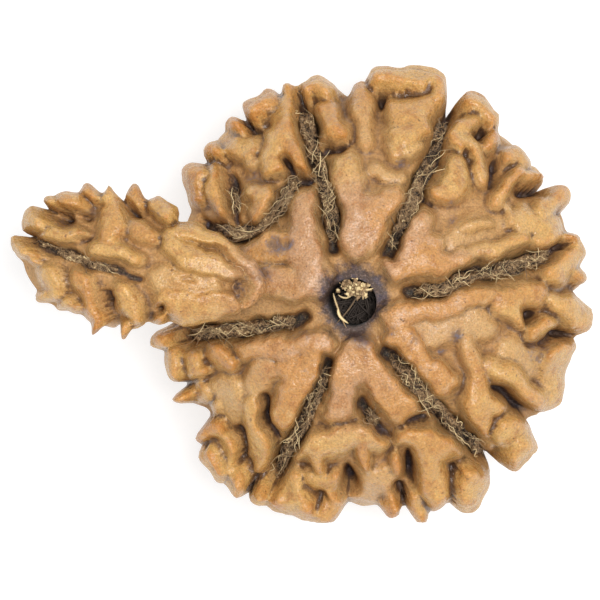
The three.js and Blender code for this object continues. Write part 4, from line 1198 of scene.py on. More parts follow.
@dataclass
class SlimSeed(Shell):
    """The slim seed on the large one's shoulder: a pointed leaf at its nose, knobs behind.

    The knobs of its underside stand in rings: angles along it and round it, in degrees, where
    every second ring is turned. The draws for a knob are how far it may shift along, round, in
    width and in top, and how far its other end may shift along and round, in radians.
    """

    tiers: tuple[int, ...] = (-66, -44, -22, 0, 22, 44)
    rolls: tuple[int, ...] = (196, 233, 270, 307, 344)
    roll_shift: float = 8
    knob_top: float = -0.2
    knob_width: float = 0.75
    knob_taper: float = 0.9
    knob_draws: tuple[float, ...] = (4, 5, 0.15, 0.25, 0.12, 0.2)
    columns: int = 310
    rows: int = 165

    def shape(self) -> Seed:
        """Seed that leans on the large one's shoulder, nose up, with rings of knobs below.

        Returns:
            The seed.
        """
        nose, tail = np.array(SLIM_NOSE), np.array(SLIM_TAIL)
        along = nose - tail
        length = float(np.linalg.norm(along))
        seed = Seed(
            np.array([length / 2, SLIM_HALF_WIDTH, SLIM_HALF_HEIGHT]),
            drawn_rule(
                SLIM_FLOOR, SLIM_GROOVE, SLIM_LOBES + SLIM_FULLER, SLIM_GROOVES, SLIM_PITS + SLIM_DEEPER),
            ReliefRule(SLIM_FLOOR, SLIM_GROOVE),
            centre=(nose + tail) / 2,
            heading=math.atan2(along[1], along[0]),
            tilt=math.asin(along[2] / length),
            taper=SLIM_TAPER,
        )
        for row, tier in enumerate(self.tiers):
            turned = self.roll_shift if row % 2 else -self.roll_shift
            for column, roll in enumerate(self.rolls):
                number = SLIM_NUMBERS + NUMBERS_A_ROW * row + column
                shift, twist, wider, higher, lean, bend = draws(number, *self.knob_draws)
                along, round_it = math.radians(tier + shift), math.radians(roll + turned + twist)
                width, top = self.knob_width + wider, self.knob_top + higher
                start = self.on_sphere(along, round_it)
                end = self.on_sphere(along + lean, round_it + bend)
                crest = [(start, width, top), (end, self.knob_taper * width, top)]
                seed.lower.lobes.append(seed.chain(crest))
        return seed

    @staticmethod
    def on_sphere(along: float, roll: float) -> Array:
        """Direction by its angle along the seed and round it: cosines and sines of both."""
        level = math.cos(along)
        return np.array([math.sin(along), level * math.cos(roll), level * math.sin(roll)])

    def build(self) -> Piece:
        """Rows from the nose to the tail, at even angles, closed by a point at each end.

        Returns:
            The skin.
        """
        polar = np.linspace(0, math.pi, self.rows + 2)[1:-1, None]
        around = np.linspace(0, 2 * math.pi, self.columns, endpoint=False)[None]
        ring = np.stack([np.zeros_like(around), np.cos(around), np.sin(around)], axis=-1)
        nose = np.array([1.0, 0.0, 0.0])
        skin = Skin(self.seed, np.sin(polar)[..., None] * ring + np.cos(polar)[..., None] * nose)
        outside = skin.settled()
        ends = self.seed.surface(np.stack([nose, -nose]))[0]
        count = self.rows * self.columns
        shares = {key: np.append(values, values[[0, -1]]) for key, values in skin.shares(outside).items()}
        shares["hole"] = np.zeros(count + 2)
        column = np.arange(self.columns)
        beside = (column + 1) % self.columns
        last = count - self.columns
        nose_fan = np.stack([np.full_like(column, count), column, beside], axis=-1)
        tail_fan = np.stack([np.full_like(column, count + 1), last + beside, last + column], axis=-1)
        sides = grid_faces(self.rows, self.columns, closed_rows=False)
        faces = sides.tolist() + nose_fan.tolist() + tail_fan.tolist()
        points = kept_in_box(self.seed.stand(np.concatenate([outside.reshape(-1, 3), ends])))
        hole_at = np.array(HOLE_AT) - np.array(FOOTPRINT_CENTRE)
        shares["from_hole"] = np.linalg.norm(points[:, :2] - hole_at, axis=1)
        shares["stain_and_shadow"] = stain_and_shadow_at(points)
        return make_mesh(self.name, points, faces, shares)


Socket = bpy.types.NodeSocket
Colour = tuple[int, int, int]


class Sum(Enum):
    """Sums that a finish works out on one value or two."""

    PLUS = "ADD"
    MINUS = "SUBTRACT"
    TIMES = "MULTIPLY"
    LARGER = "MAXIMUM"
    SIZE = "ABSOLUTE"


@dataclass(frozen=True)
class Lumps:
    """Noise in a finish: the size of its lumps in millimetres, and how much finer noise it has."""

    size: float
    detail: float = 2.0
    roughness: float = 0.5


@dataclass(frozen=True)
class Coat:
    """Colour laid over others: none of it at a value's first mark, its full share at the second."""

    colour: Colour
    start: float
    full: float
    share: float = 1.0


def linear(colour: Colour) -> tuple[float, float, float, float]:
    """Screen colour from 0 to 255 as linear light, by the upper part of the sRGB curve."""
    return (*(((level / 255 + 0.055) / 1.055) ** 2.4 for level in colour), 1.0)


class Sheet:
    """Shader nodes of one finish, with a short way to add each kind of node."""

    def __init__(self, name: str) -> None:
        """Starts a material with a Principled shader.

        Args:
            name: the material's name.
        """
        self.material = bpy.data.materials.new(name)
        self.material.use_nodes = True
        self.tree = self.material.node_tree
        self.shader = self.tree.nodes["Principled BSDF"]
        self.place = self.tree.nodes.new("ShaderNodeTexCoord").outputs["Object"]

    def put(self, socket: Socket, value: object) -> None:
        """Joins a socket to another, or gives it a plain value."""
        if isinstance(value, Socket):
            self.tree.links.new(value, socket)
        else:
            socket.default_value = value

    def shade(self, **values: object) -> None:
        """Gives the shader's own sockets their values; an underscore stands for a space."""
        for name, value in values.items():
            self.put(self.shader.inputs[name.replace("_", " ")], value)

    def attribute(self, name: str) -> Socket:
        """Value of a point attribute."""
        node = self.tree.nodes.new("ShaderNodeAttribute")
        node.attribute_name = name
        return node.outputs["Fac"]

    def noise(self, lumps: Lumps) -> Socket:
        """Noise, mostly from 0.3 to 0.7.

        Args:
            lumps: size of the lumps, detail and roughness.

        Returns:
            The noise's value.
        """
        node = self.tree.nodes.new("ShaderNodeTexNoise")
        self.put(node.inputs["Vector"], self.place)
        node.inputs["Scale"].default_value = 1 / (lumps.size * MM)
        node.inputs["Detail"].default_value = lumps.detail
        node.inputs["Roughness"].default_value = lumps.roughness
        return node.outputs["Fac"]

    def upward(self) -> Socket:
        """How far the surface faces up: 1 where it is level, 0 where it is upright."""
        normal = self.tree.nodes.new("ShaderNodeNewGeometry").outputs["Normal"]
        parts = self.tree.nodes.new("ShaderNodeSeparateXYZ")
        self.put(parts.inputs[0], normal)
        return parts.outputs["Z"]

    def sum(self, kind: Sum, first: object, second: object = 0.0) -> Socket:
        """Result of a sum.

        Args:
            kind: which sum.
            first: a socket or a number.
            second: a socket or a number, where the sum takes two.

        Returns:
            The result.
        """
        node = self.tree.nodes.new("ShaderNodeMath")
        node.operation = kind.value
        self.put(node.inputs[0], first)
        self.put(node.inputs[1], second)
        return node.outputs[0]

    def plus(self, first: object, second: object) -> Socket:
        """Both values together."""
        return self.sum(Sum.PLUS, first, second)

    def minus(self, first: object, second: object) -> Socket:
        """First value less the second."""
        return self.sum(Sum.MINUS, first, second)

    def times(self, first: object, second: object) -> Socket:
        """One value times the other."""
        return self.sum(Sum.TIMES, first, second)

    def larger(self, first: object, second: object) -> Socket:
        """Larger of two values."""
        return self.sum(Sum.LARGER, first, second)

    def swing(self, noise: Socket, reach: float) -> Socket:
        """How far noise lies from its middle, times a reach."""
        return self.times(self.minus(noise, 0.5), reach)

    def ease(self, value: Socket, low: float, high: float) -> Socket:
        """Share that eases from 0 where the value is low to 1 where it is high.

        Args:
            value: what is eased.
            low: value at which it is 0.
            high: value at which it is 1.

        Returns:
            The share.
        """
        node = self.tree.nodes.new("ShaderNodeMapRange")
        node.interpolation_type = "SMOOTHSTEP"
        node.inputs["From Min"].default_value = low
        node.inputs["From Max"].default_value = high
        self.put(node.inputs["Value"], value)
        return node.outputs["Result"]

    def mix(self, share: object, first: object, second: object) -> Socket:
        """Colour between two colours.

        Args:
            share: how much there is of the second colour.
            first: a socket, or a screen colour.
            second: a socket, or a screen colour.

        Returns:
            The colour.
        """
        node = self.tree.nodes.new("ShaderNodeMix")
        node.data_type = "RGBA"
        self.put(node.inputs[0], share)
        for number, colour in ((6, first), (7, second)):
            self.put(node.inputs[number], linear(colour) if isinstance(colour, tuple) else colour)
        return node.outputs[2]

    def coat(self, below: object, coat: Coat, value: Socket, other: object = None) -> Socket:
        """Colour below with a coat over it.

        Args:
            below: the colour below.
            coat: the coat, with its marks and share.
            value: what the coat's marks are read on.
            other: colour to lay instead of the coat's own one, where there is one.

        Returns:
            The colour.
        """
        share = self.times(self.ease(value, coat.start, coat.full), coat.share)
        return self.mix(share, below, coat.colour if other is None else other)

    def scaled(self, colour: Socket, factor: Socket) -> Socket:
        """Colour made lighter or darker by a factor.

        Args:
            colour: the colour.
            factor: the factor.

        Returns:
            The colour.
        """
        node = self.tree.nodes.new("ShaderNodeVectorMath")
        node.operation = "SCALE"
        self.put(node.inputs[0], colour)
        self.put(node.inputs["Scale"], factor)
        return node.outputs[0]

    def bump(self, height: Socket, depth: float, below: Socket | None = None) -> Socket:
        """Normal bent by a height from 0 to 1, which stands for a depth in millimetres.

        Args:
            height: the height.
            depth: what a height of 1 stands for.
            below: normal of a coarser bump, where there is one.

        Returns:
            The bent normal.
        """
        node = self.tree.nodes.new("ShaderNodeBump")
        node.inputs["Distance"].default_value = depth * MM
        self.put(node.inputs["Height"], height)
        if below is not None:
            self.put(node.inputs["Normal"], below)
        return node.outputs["Normal"]


@dataclass(frozen=True)
class Marks:
    """Values that several layers of the seed's finish read."""

    cloud: Socket
    grain: Socket
    fine: Socket
    mottle: Socket
    far: Socket
    low: Socket
    rise: Socket


@dataclass(frozen=True)
class SeedFinish:
    """Waxy, oiled stone of the seed: tan plates, ochre knobs, pale shelves and dark grooves.

    Sizes, depths and distances are in millimetres. The marks of a coat are read on noise, on
    the height of the relief, where 0 is a floor and 1 a lobe, or on the bend of the surface.
    """

    # Noise, from broad clouds to fine grain
    cloud: Lumps = Lumps(2.6, 3.0)
    mottle: Lumps = Lumps(0.7, 4.0, 0.65)
    grain: Lumps = Lumps(0.32, 3.0, 0.6)
    fine: Lumps = Lumps(0.11, 2.0, 0.6)
    waves: Lumps = Lumps(1.1, 3.0, 0.6)
    speckle: Lumps = Lumps(0.3, 1.0)
    stain_and_shadow_patches: Lumps = Lumps(0.5, 1.0)
    rim_patches: Lumps = Lumps(0.7, 1.0)

    # Stone: pinker plates near the hole, ochre knobs far from it, each lobe of its own tint
    plate: Colour = (177, 134, 95)
    plate_warm: Coat = Coat((183, 132, 76), 0.25, 0.85)
    knob: Colour = (190, 148, 88)
    knob_warm: Coat = Coat((180, 130, 72), 0.25, 0.85)
    tint_reach: float = 0.5
    far_from_hole: Pair = (7.0, 11.0)
    far_cloud: float = 3.0
    blotch: Coat = Coat((156, 104, 56), 0.52, 0.64, 0.6)
    pale: Coat = Coat((190, 152, 120), 0.47, 0.34, 0.65)
    pale_far: Colour = (200, 160, 96)

    # Floors between the lobes
    rise_mottle: float = 0.4
    shelf: Coat = Coat((188, 150, 100), 1.05, 0.75, 0.7)
    floor: Coat = Coat((176, 134, 84), 0.62, 0.3, 0.8)

    # Crevices, slopes and ridges: dark dirt and painted shade in small creases and deep hollows, painted
    # shade over broad concave parts, ochre on ridges
    crevice_dirt_and_shade: Coat = Coat((70, 50, 38), 0.075, 0.2, 0.92)
    crevice_dirt_and_shade_grain: float = 0.16
    slope_painted_shade: Coat = Coat((162, 112, 60), -0.02, 0.3, 0.18)
    slope_painted_shade_near: Colour = (138, 108, 86)
    bend_cloud: float = 0.1
    hollow_dirt_and_shade: Coat = Coat((70, 50, 38), 0.4, 0.8, 0.85)
    ridge: Coat = Coat((190, 126, 60), -0.06, -0.4, 0.45)
    speck: Coat = Coat((84, 58, 42), 0.72, 0.77, 0.6)

    # Dirt in patches, and a painted shadow beside the slim seed's nose
    stain_and_shadow: Coat = Coat((112, 86, 68), 0.3, 0.95, 0.9)
    stain_and_shadow_blue: Coat = Coat((100, 94, 104), 0.45, 0.6)
    stain_and_shadow_spots: float = 1.1

    # Blue-black rim of the hole and of the grooves, the grooves' beds, and the bore, painted near black as
    # the shade deep in the hole
    rim: Colour = (62, 48, 46)
    rim_blue: Coat = Coat((62, 56, 68), 0.5, 0.62)
    rim_pale: Coat = Coat((118, 100, 94), 0.52, 0.72, 0.6)
    rim_marks: Triple = (0.5, 0.76, 0.75)
    ring_marks: Triple = (1.35, 0.45, 0.94)
    ring_cloud: float = 2.6
    ring_wobble: float = 1.4
    edge_wobble: float = 0.5
    bed: Colour = (38, 31, 26)
    bed_pale: Coat = Coat((104, 88, 64), 0.5, 0.7)
    bed_marks: Pair = (0.76, 1.02)
    hole: Colour = (16, 13, 11)

    # Grain, gloss and glow
    grain_contrast: float = 1.3
    wave_depth: float = 0.16
    grain_depth: float = 0.075
    fine_depth: float = 0.035
    roughness: float = 0.27
    roughness_low_parts: float = 0.62
    roughness_grain: float = 0.16
    reflection: float = 0.48
    reflection_upright: float = 0.2
    level_marks: Pair = (0.1, 0.65)
    glow: float = 0.12
    glow_radius: float = 0.3
    glow_colours: Triple = (1.0, 0.45, 0.2)

    def marks(self, sheet: Sheet) -> Marks:
        """Noise, height of the relief and distance from the hole.

        Args:
            sheet: the finish's nodes.

        Returns:
            The values.
        """
        cloud = sheet.noise(self.cloud)
        mottle = sheet.noise(self.mottle)
        from_hole = sheet.plus(sheet.attribute("from_hole"), sheet.times(cloud, self.far_cloud))
        rise = sheet.plus(sheet.attribute("rise"), sheet.times(mottle, self.rise_mottle))
        low = sheet.ease(rise, self.floor.start, self.floor.full)
        far = sheet.ease(from_hole, *self.far_from_hole)
        return Marks(cloud, sheet.noise(self.grain), sheet.noise(self.fine), mottle, far, low, rise)

    def stone(self, sheet: Sheet, marks: Marks) -> Socket:
        """Colour of clean stone: plates and knobs, blotches on them, and floors between them.

        Args:
            sheet: the finish's nodes.
            marks: the values that its layers read.

        Returns:
            The colour.
        """
        tint = sheet.plus(sheet.times(sheet.attribute("tint"), self.tint_reach), marks.cloud)
        plate = sheet.coat(self.plate, self.plate_warm, tint)
        knob = sheet.coat(self.knob, self.knob_warm, tint)
        colour = sheet.mix(marks.far, plate, knob)
        colour = sheet.coat(colour, self.blotch, marks.mottle)
        pale = sheet.mix(marks.far, self.pale.colour, self.pale_far)
        colour = sheet.coat(colour, self.pale, marks.mottle, pale)
        colour = sheet.coat(colour, self.shelf, marks.rise)
        return sheet.mix(sheet.times(marks.low, self.floor.share), colour, self.floor.colour)

    def dirt_and_painted_shade(self, sheet: Sheet, marks: Marks, colour: Socket) -> Socket:
        """Colour with dirt and painted shade in crevices and hollows, painted shade on broad concave parts,
        ochre ridges, specks, and stains with a painted shadow.

        Args:
            sheet: the finish's nodes.
            marks: the values that its layers read.
            colour: the colour below.

        Returns:
            The colour.
        """
        # Crevices: dark dirt and painted shade where the surface bends in sharply
        crevice_dirt_and_shade = sheet.minus(sheet.times(marks.grain, self.crevice_dirt_and_shade_grain), sheet.attribute("crease"))
        colour = sheet.coat(colour, self.crevice_dirt_and_shade, crevice_dirt_and_shade)
        # Slopes: painted shade, brown, over the broad concave parts
        slope_painted_shade = sheet.mix(marks.far, self.slope_painted_shade_near, self.slope_painted_shade.colour)
        bend = sheet.minus(sheet.times(marks.cloud, self.bend_cloud), sheet.attribute("bend"))
        colour = sheet.coat(colour, self.slope_painted_shade, bend, slope_painted_shade)
        # Hollows: dark dirt and painted shade in the deepest broad concave parts
        colour = sheet.coat(colour, self.hollow_dirt_and_shade, bend)
        colour = sheet.coat(colour, self.ridge, bend)
        colour = sheet.coat(colour, self.speck, sheet.noise(self.speckle))
        # Stains: dirt, and the painted shadow of the slim seed's leaf
        spots = sheet.times(sheet.minus(sheet.plus(marks.grain, marks.fine), 1.0), self.stain_and_shadow_spots)
        spotted = sheet.plus(sheet.attribute("stain_and_shadow"), spots)
        stain_and_shadow = sheet.coat(self.stain_and_shadow.colour, self.stain_and_shadow_blue, sheet.noise(self.stain_and_shadow_patches))
        return sheet.coat(colour, self.stain_and_shadow, spotted, stain_and_shadow)

    def rimmed(self, sheet: Sheet, marks: Marks, colour: Socket) -> tuple[Socket, Socket]:
        """Colour with the dark rims of grooves and hole, the beds, and the bore painted near black as shade.

        Args:
            sheet: the finish's nodes.
            marks: the values that its layers read.
            colour: the colour below.

        Returns:
            The colour, and the share of beds and ring, which are dull.
        """
        edge = sheet.larger(sheet.attribute("groove"), sheet.attribute("pit"))
        edge = sheet.plus(edge, sheet.swing(marks.grain, self.edge_wobble))
        near = sheet.minus(sheet.attribute("from_hole"), sheet.times(marks.cloud, self.ring_cloud))
        near = sheet.plus(near, sheet.swing(marks.grain, self.ring_wobble))
        rim = sheet.coat(self.rim, self.rim_blue, sheet.noise(self.rim_patches))
        rim = sheet.coat(rim, self.rim_pale, marks.fine)
        *ends, share = self.rim_marks
        colour = sheet.mix(sheet.times(sheet.ease(edge, *ends), share), colour, rim)
        *ends, share = self.ring_marks
        ring = sheet.ease(near, *ends)
        colour = sheet.mix(sheet.times(ring, share), colour, rim)
        dark = sheet.ease(edge, *self.bed_marks)
        colour = sheet.mix(dark, colour, sheet.coat(self.bed, self.bed_pale, marks.fine))
        # The bore: painted shade, near black
        return sheet.mix(sheet.attribute("hole"), colour, self.hole), sheet.larger(dark, ring)

    def material(self) -> Material:
        """Layers of colour from the stone up to the dirt in its grooves, with painted shade in crevices,
        hollows and bore, then gloss and grain.

        Returns:
            The material.
        """
        sheet = Sheet(SLOT)
        marks = self.marks(sheet)
        colour = self.dirt_and_painted_shade(sheet, marks, self.stone(sheet, marks))
        colour, dull = self.rimmed(sheet, marks, colour)
        dust = sheet.plus(sheet.swing(marks.fine, self.grain_contrast), 1.0)
        gloss = sheet.plus(sheet.swing(marks.grain, self.roughness_grain), self.roughness)
        spread = self.roughness_low_parts - self.roughness
        normal = sheet.bump(sheet.noise(self.waves), self.wave_depth)
        normal = sheet.bump(marks.grain, self.grain_depth, normal)
        level = sheet.ease(sheet.sum(Sum.SIZE, sheet.upward()), *self.level_marks)
        upright = self.reflection * self.reflection_upright
        sheet.shade(
            Base_Color=sheet.scaled(colour, dust),
            Roughness=sheet.plus(gloss, sheet.times(sheet.larger(marks.low, dull), spread)),
            Normal=sheet.bump(marks.fine, self.fine_depth, normal),
            Specular_IOR_Level=sheet.plus(sheet.times(level, self.reflection - upright), upright),
            Subsurface_Weight=self.glow,
            Subsurface_Radius=self.glow_colours,
            Subsurface_Scale=self.glow_radius * MM,
        )
        return sheet.material


@dataclass(frozen=True)
class FibreFinish:
    """Dry fibre and crumbs: each strand and crumb has its own shade between dark and pale, which in the bed
    of crumbs and in the hole's plug holds painted shade.
    """

    name: str = "groove_fibre"
    dark: Colour = (50, 40, 33)
    middle: Coat = Coat((152, 124, 90), 0.0, 0.45)
    pale: Coat = Coat((236, 212, 160), 0.55, 1.0)
    roughness: float = 0.75

    def material(self) -> Material:
        """Colour by the shade, dark to pale.

        Returns:
            The material.
        """
        sheet = Sheet(self.name)
        shade = sheet.attribute("shade")
        colour = sheet.coat(sheet.coat(self.dark, self.middle, shade), self.pale, shade)
        sheet.shade(Base_Color=colour, Roughness=self.roughness)
        return sheet.material


@dataclass(frozen=True)
class Layer:
    """Part of a loose piece: points in millimetres, quads, and a shade for each point."""

    points: Array
    faces: Array
    shades: Array


@dataclass(frozen=True)
class Strands:
    """Thin bent tubes, all of a mat's strands in one mesh."""

    sides: int = 3
    knots: int = 9
    taper: float = 0.7
    taper_power: int = 3

    def tubes(self, lines: Array, radius: Array) -> tuple[Array, Array]:
        """Tubes round lines.

        Each knot gets a ring across the line: the line's direction crossed with UP gives
        one axis, and crossed again the other. Radii shrink towards both ends.

        Args:
            lines: strands by knots by 3.
            radius: one for each strand.

        Returns:
            Points, and quads.
        """
        heading = unit(np.gradient(lines, axis=1) + TINY)
        across = unit(np.cross(heading, UP) + TINY)
        over = np.cross(across, heading)
        angles = np.linspace(0, 2 * math.pi, self.sides, endpoint=False)
        taper = 1 - self.taper * np.abs(np.linspace(-1, 1, self.knots)) ** self.taper_power
        reach = (radius[:, None] * taper)[:, :, None, None]
        ring = np.cos(angles)[:, None] * across[:, :, None] + np.sin(angles)[:, None] * over[:, :, None]
        points = lines[:, :, None] + reach * ring
        base = np.arange(len(lines))[:, None, None] * self.knots * self.sides
        knot, side = np.meshgrid(np.arange(self.knots - 1), np.arange(self.sides), indexing="ij")
        here, beside = knot * self.sides + side, knot * self.sides + (side + 1) % self.sides
        quads = np.stack([here, beside, beside + self.sides, here + self.sides], axis=-1)
        return points.reshape(-1, 3), (base[..., None] + quads).reshape(-1, 4)

    def layer(self, lines: Array, radius: Array, shade: Array) -> Layer:
        """Tubes round lines, with a radius and a shade for each."""
        return Layer(*self.tubes(lines, radius), shade.repeat(self.knots * self.sides))


def value_noise(along: Array, across: Array, size: float, chance: Chance) -> Array:
    """Lumps of about the given size on a grid of places: draws on a square grid, joined evenly.

    Args:
        along: places along the strip, one for each row, in millimetres.
        across: places across it, one for each column.
        size: side of the squares, in millimetres.
        chance: the draws.

    Returns:
        Values from 0 to 1, rows by columns.
    """
    cells, shares = [], []
    for places in (along, across):
        steps = (places - places.min()) / size
        cells.append(steps.astype(int))
        shares.append(smooth_step(steps - cells[-1], 0.0, 1.0))
    width = int((across.max() - across.min()) / size) + 2
    values = chance.uniform(0, 1, (cells[0].max() + 2, width))
    for axis, share in enumerate((shares[0][:, None], shares[1][None])):
        low, high = np.take(values, cells[axis], axis), np.take(values, cells[axis] + 1, axis)
        values = low + (high - low) * share
    return values


@dataclass(frozen=True)
class Bed:
    """Middle line of a groove or pit, seen from above, with its half-width and its depth."""

    at: Array
    width: float
    depth: float
    end_margin: float = 0.75
    end_share: float = 0.2
    half_step: float = 0.2

    @classmethod
    def of(cls, chain: Chain, depth: float) -> "Bed":
        """Bed of a chain; a pit of one point is drawn out to both sides."""
        at = chain.at if len(chain.at) > 1 else chain.at + chain.width[0] * np.array(LONE_PIT_ENDS)
        return cls(at, float(chain.width.mean()), depth)

    @property
    def marks(self) -> Array:
        """Distance of each point from the bed's start."""
        return np.concatenate([[0], np.cumsum(np.linalg.norm(np.diff(self.at, axis=0), axis=1))])

    @property
    def trim(self) -> float:
        """Length at the bed's outer end that stays clear."""
        return min(self.end_margin, self.end_share * self.marks[-1])

    def place(self, distance: Array) -> Array:
        """Places at distances from the start, run on straight past both ends.

        Args:
            distance: distances along the bed.

        Returns:
            Places seen from above.
        """
        inside = np.clip(distance, 0, self.marks[-1])
        places = np.stack([np.interp(inside, self.marks, self.at[:, k]) for k in range(2)], axis=-1)
        first, last = unit(self.at[1] - self.at[0]), unit(self.at[-1] - self.at[-2])
        past = (distance - inside)[..., None]
        return places + np.minimum(past, 0) * first + np.maximum(past, 0) * last

    def across(self, distance: Array) -> Array:
        """Unit directions across the bed at distances from the start."""
        ahead = self.place(distance + self.half_step) - self.place(distance - self.half_step)
        return unit(ahead + TINY)[..., ::-1] * np.array([-1, 1])


@dataclass(frozen=True)
class Tangle:
    """Loose strands in a bed. Lengths are in millimetres; pairs are the ends of a range."""

    per_area: float = 15.0
    least: int = 4
    length: Pair = (0.4, 2.0)
    length_share: float = 0.7
    radius: Pair = (0.012, 0.036)
    sunk: Pair = (0.35, 1.5)
    sunk_power: float = 0.7
    edge_rise: float = 0.35
    fill: float = 1.05
    spread: float = 0.95
    lean: float = 0.5
    margin: float = 0.05
    least_play: float = 0.1
    sway: Pair = (0.03, 0.17)
    sway_turns: Pair = (3, 15)
    sway_start: Pair = (0, 6.3)
    thinning: float = -0.1
    thinning_reach: float = 0.25
    clump_waves: tuple[Triple, ...] = ((3.1, 1.7, 0.0), (-1.3, 3.7, 2.0))
    strands: Strands = Strands()

    def swaying(self, chance: Chance, count: int, t: Array) -> Array:
        """Sine wave along each strand, with a size, a number of turns and a start of its own."""
        size, turns, start = (chance.uniform(*ends, count)[:, None] for ends in (
            self.sway, self.sway_turns, self.sway_start))
        return size * np.sin(turns * t + start)

    def lines(self, bed: Bed, chance: Chance) -> Array:
        """Strands' lines in one bed.

        Each strand starts at a drawn place along the bed and across it, runs mostly along
        it, and sways by two sine waves across and up. Most lie low, a few near the top, and
        some are left out in patches: where a product of two sine waves of the place is low.

        Args:
            bed: the groove's or pit's bed.
            chance: the draws.

        Returns:
            Strands by knots by 3, in the seed's plane seen from above plus height.
        """
        total, width = bed.marks[-1], bed.width * self.fill
        count = max(self.least, int(self.per_area * total * 2 * width))
        length = np.minimum(chance.uniform(*self.length, count), self.length_share * total)[:, None]
        t = np.linspace(-0.5, 0.5, self.strands.knots)[None]
        lean = chance.normal(0, self.lean, count)[:, None]
        free = np.maximum(total - self.margin - bed.trim - length, self.least_play)
        start = self.margin + length / 2 + free * chance.uniform(0, 1, count)[:, None]
        along = start + length * t * np.cos(lean)
        sway, rise = (self.swaying(chance, count, t) for _ in range(2))
        place = chance.uniform(-self.spread, self.spread, count)[:, None]
        across = place * width + length * t * np.sin(lean) + sway
        flat = bed.place(along) + across[..., None] * bed.across(along)
        draws_down = chance.uniform(0, 1, count)[:, None] ** self.sunk_power
        top, bottom = self.sunk
        low = (top + (bottom - top) * draws_down) * min(1.0, bed.depth / bottom)
        low = low - self.edge_rise * np.abs(across / width) * draws_down
        lines = np.concatenate([flat, (-low + 0.5 * rise)[..., None]], axis=-1)
        centre = flat[:, self.strands.knots // 2]
        first, second = (np.sin(centre @ np.array(run) + start) for *run, start in self.clump_waves)
        return lines[first * second + chance.normal(0, self.thinning_reach, count) > self.thinning]


@dataclass(frozen=True)
class Bedding:
    """Matted crumbs under the strands: a lumpy strip with holes in it, in millimetres."""

    columns: int = 19
    step: float = 0.055
    least_rows: int = 8
    spread: float = 1.15
    start_share: float = 0.4
    end_round: float = 1.4
    end_least: float = 0.04
    depth: float = 0.8
    full_depth: float = 2.2
    lump: float = 0.26
    lump_rise: float = 0.6
    fine_share: float = 0.45
    fine_rise: float = 0.3
    clump_share: float = 3.2
    gap_mark: float = 0.45
    gap_drop: float = 3.6
    end_reach: float = 0.9
    end_drop: float = 1.6
    rag: float = 0.55
    rag_mark: float = 0.45
    rag_reach: float = 0.75
    rag_drop: float = 2.4
    grain_rise: float = 0.3
    # Shade of the crumbs from the same lumps, clumps and grains that set their depth: random tones, with
    # painted shade that is darker where they lie lower
    lump_painted_shade: float = 0.9
    clump_painted_shade: Pair = (0.45, 0.4)
    grain_painted_shade: Pair = (0.65, 0.55)

    def strip(self, bed: Bed, chance: Chance) -> Layer:
        """Strip of crumbs along one bed.

        Its places are the bed's middle line plus steps across it, drawn in at both ends by a
        square root. Its depth is the sum of lumps, finer lumps, holes where the clumps are
        low, a drop at both ends and along ragged edges, and a grain for each point.

        Args:
            bed: the groove's or pit's bed.
            chance: the draws.

        Returns:
            Points in the plane seen from above plus height, quads, and shades.
        """
        length, trim = bed.marks[-1], bed.trim
        rows = max(self.least_rows, int(length / self.step))
        along = np.linspace(self.start_share * trim, length - trim, rows)
        share = np.linspace(-self.spread, self.spread, self.columns)
        end = np.minimum(along - along[0], along[-1] - along)[:, None]
        round_end = np.sqrt(np.clip(end / (self.end_round * bed.width), self.end_least, 1))
        middle, across = bed.place(along[:, None]), bed.across(along[:, None])
        flat = middle + (share * bed.width)[None, :, None] * across * round_end[..., None]
        sizes = (self.lump, self.fine_share * self.lump, self.clump_share * self.lump, self.rag)
        lumps, fine, clumps, ragged = (value_noise(along, share * bed.width, size, chance) for size in sizes)
        low = self.depth * min(1.0, bed.depth / self.full_depth)
        low = low + self.lump_rise * (1 - lumps) + self.fine_rise * (1 - fine)
        low = low + self.gap_drop * np.clip(self.gap_mark - clumps, 0, 1)
        low = low + self.end_drop * np.clip(1 - end / self.end_reach, 0, 1)
        low = low + self.rag_drop * np.clip(np.abs(share) - self.rag_mark - self.rag_reach * ragged, 0, 1)
        grains = chance.uniform(0, 1, low.shape)
        points = np.concatenate([flat, -(low + self.grain_rise * grains)[..., None]], axis=-1)
        row, column = np.meshgrid(np.arange(rows - 1), np.arange(self.columns - 1), indexing="ij")
        corner = row * self.columns + column
        quads = np.stack([corner, corner + self.columns, corner + self.columns + 1, corner + 1], axis=-1)
        # The shade follows the depth: painted shade, darker where the crumbs lie lower
        shade = self.lump_painted_shade * lumps * fine + self.clump_painted_shade[0] * (clumps - self.clump_painted_shade[1])
        shade = shade + self.grain_painted_shade[0] * (self.grain_painted_shade[1] - grains)
        return Layer(points.reshape(-1, 3), quads.reshape(-1, 4), np.clip(shade, 0, 1).ravel())


@dataclass
class LoosePart(Part):
    """Loose fibre or crumbs on the seed, joined in one mesh."""

    def layers(self) -> list[Layer]:
        """Layers of the piece."""
        raise NotImplementedError

    def build(self) -> Piece:
        """All the layers in one mesh.

        Returns:
            The piece.
        """
        layers = self.layers()
        starts = np.cumsum([0] + [len(layer.points) for layer in layers[:-1]])
        faces = np.concatenate([layer.faces + start for start, layer in zip(starts, layers)])
        points = np.concatenate([layer.points for layer in layers])
        shades = np.concatenate([layer.shades for layer in layers])
        return make_mesh(self.name, kept_in_box(points), faces.tolist(), {"shade": shades})


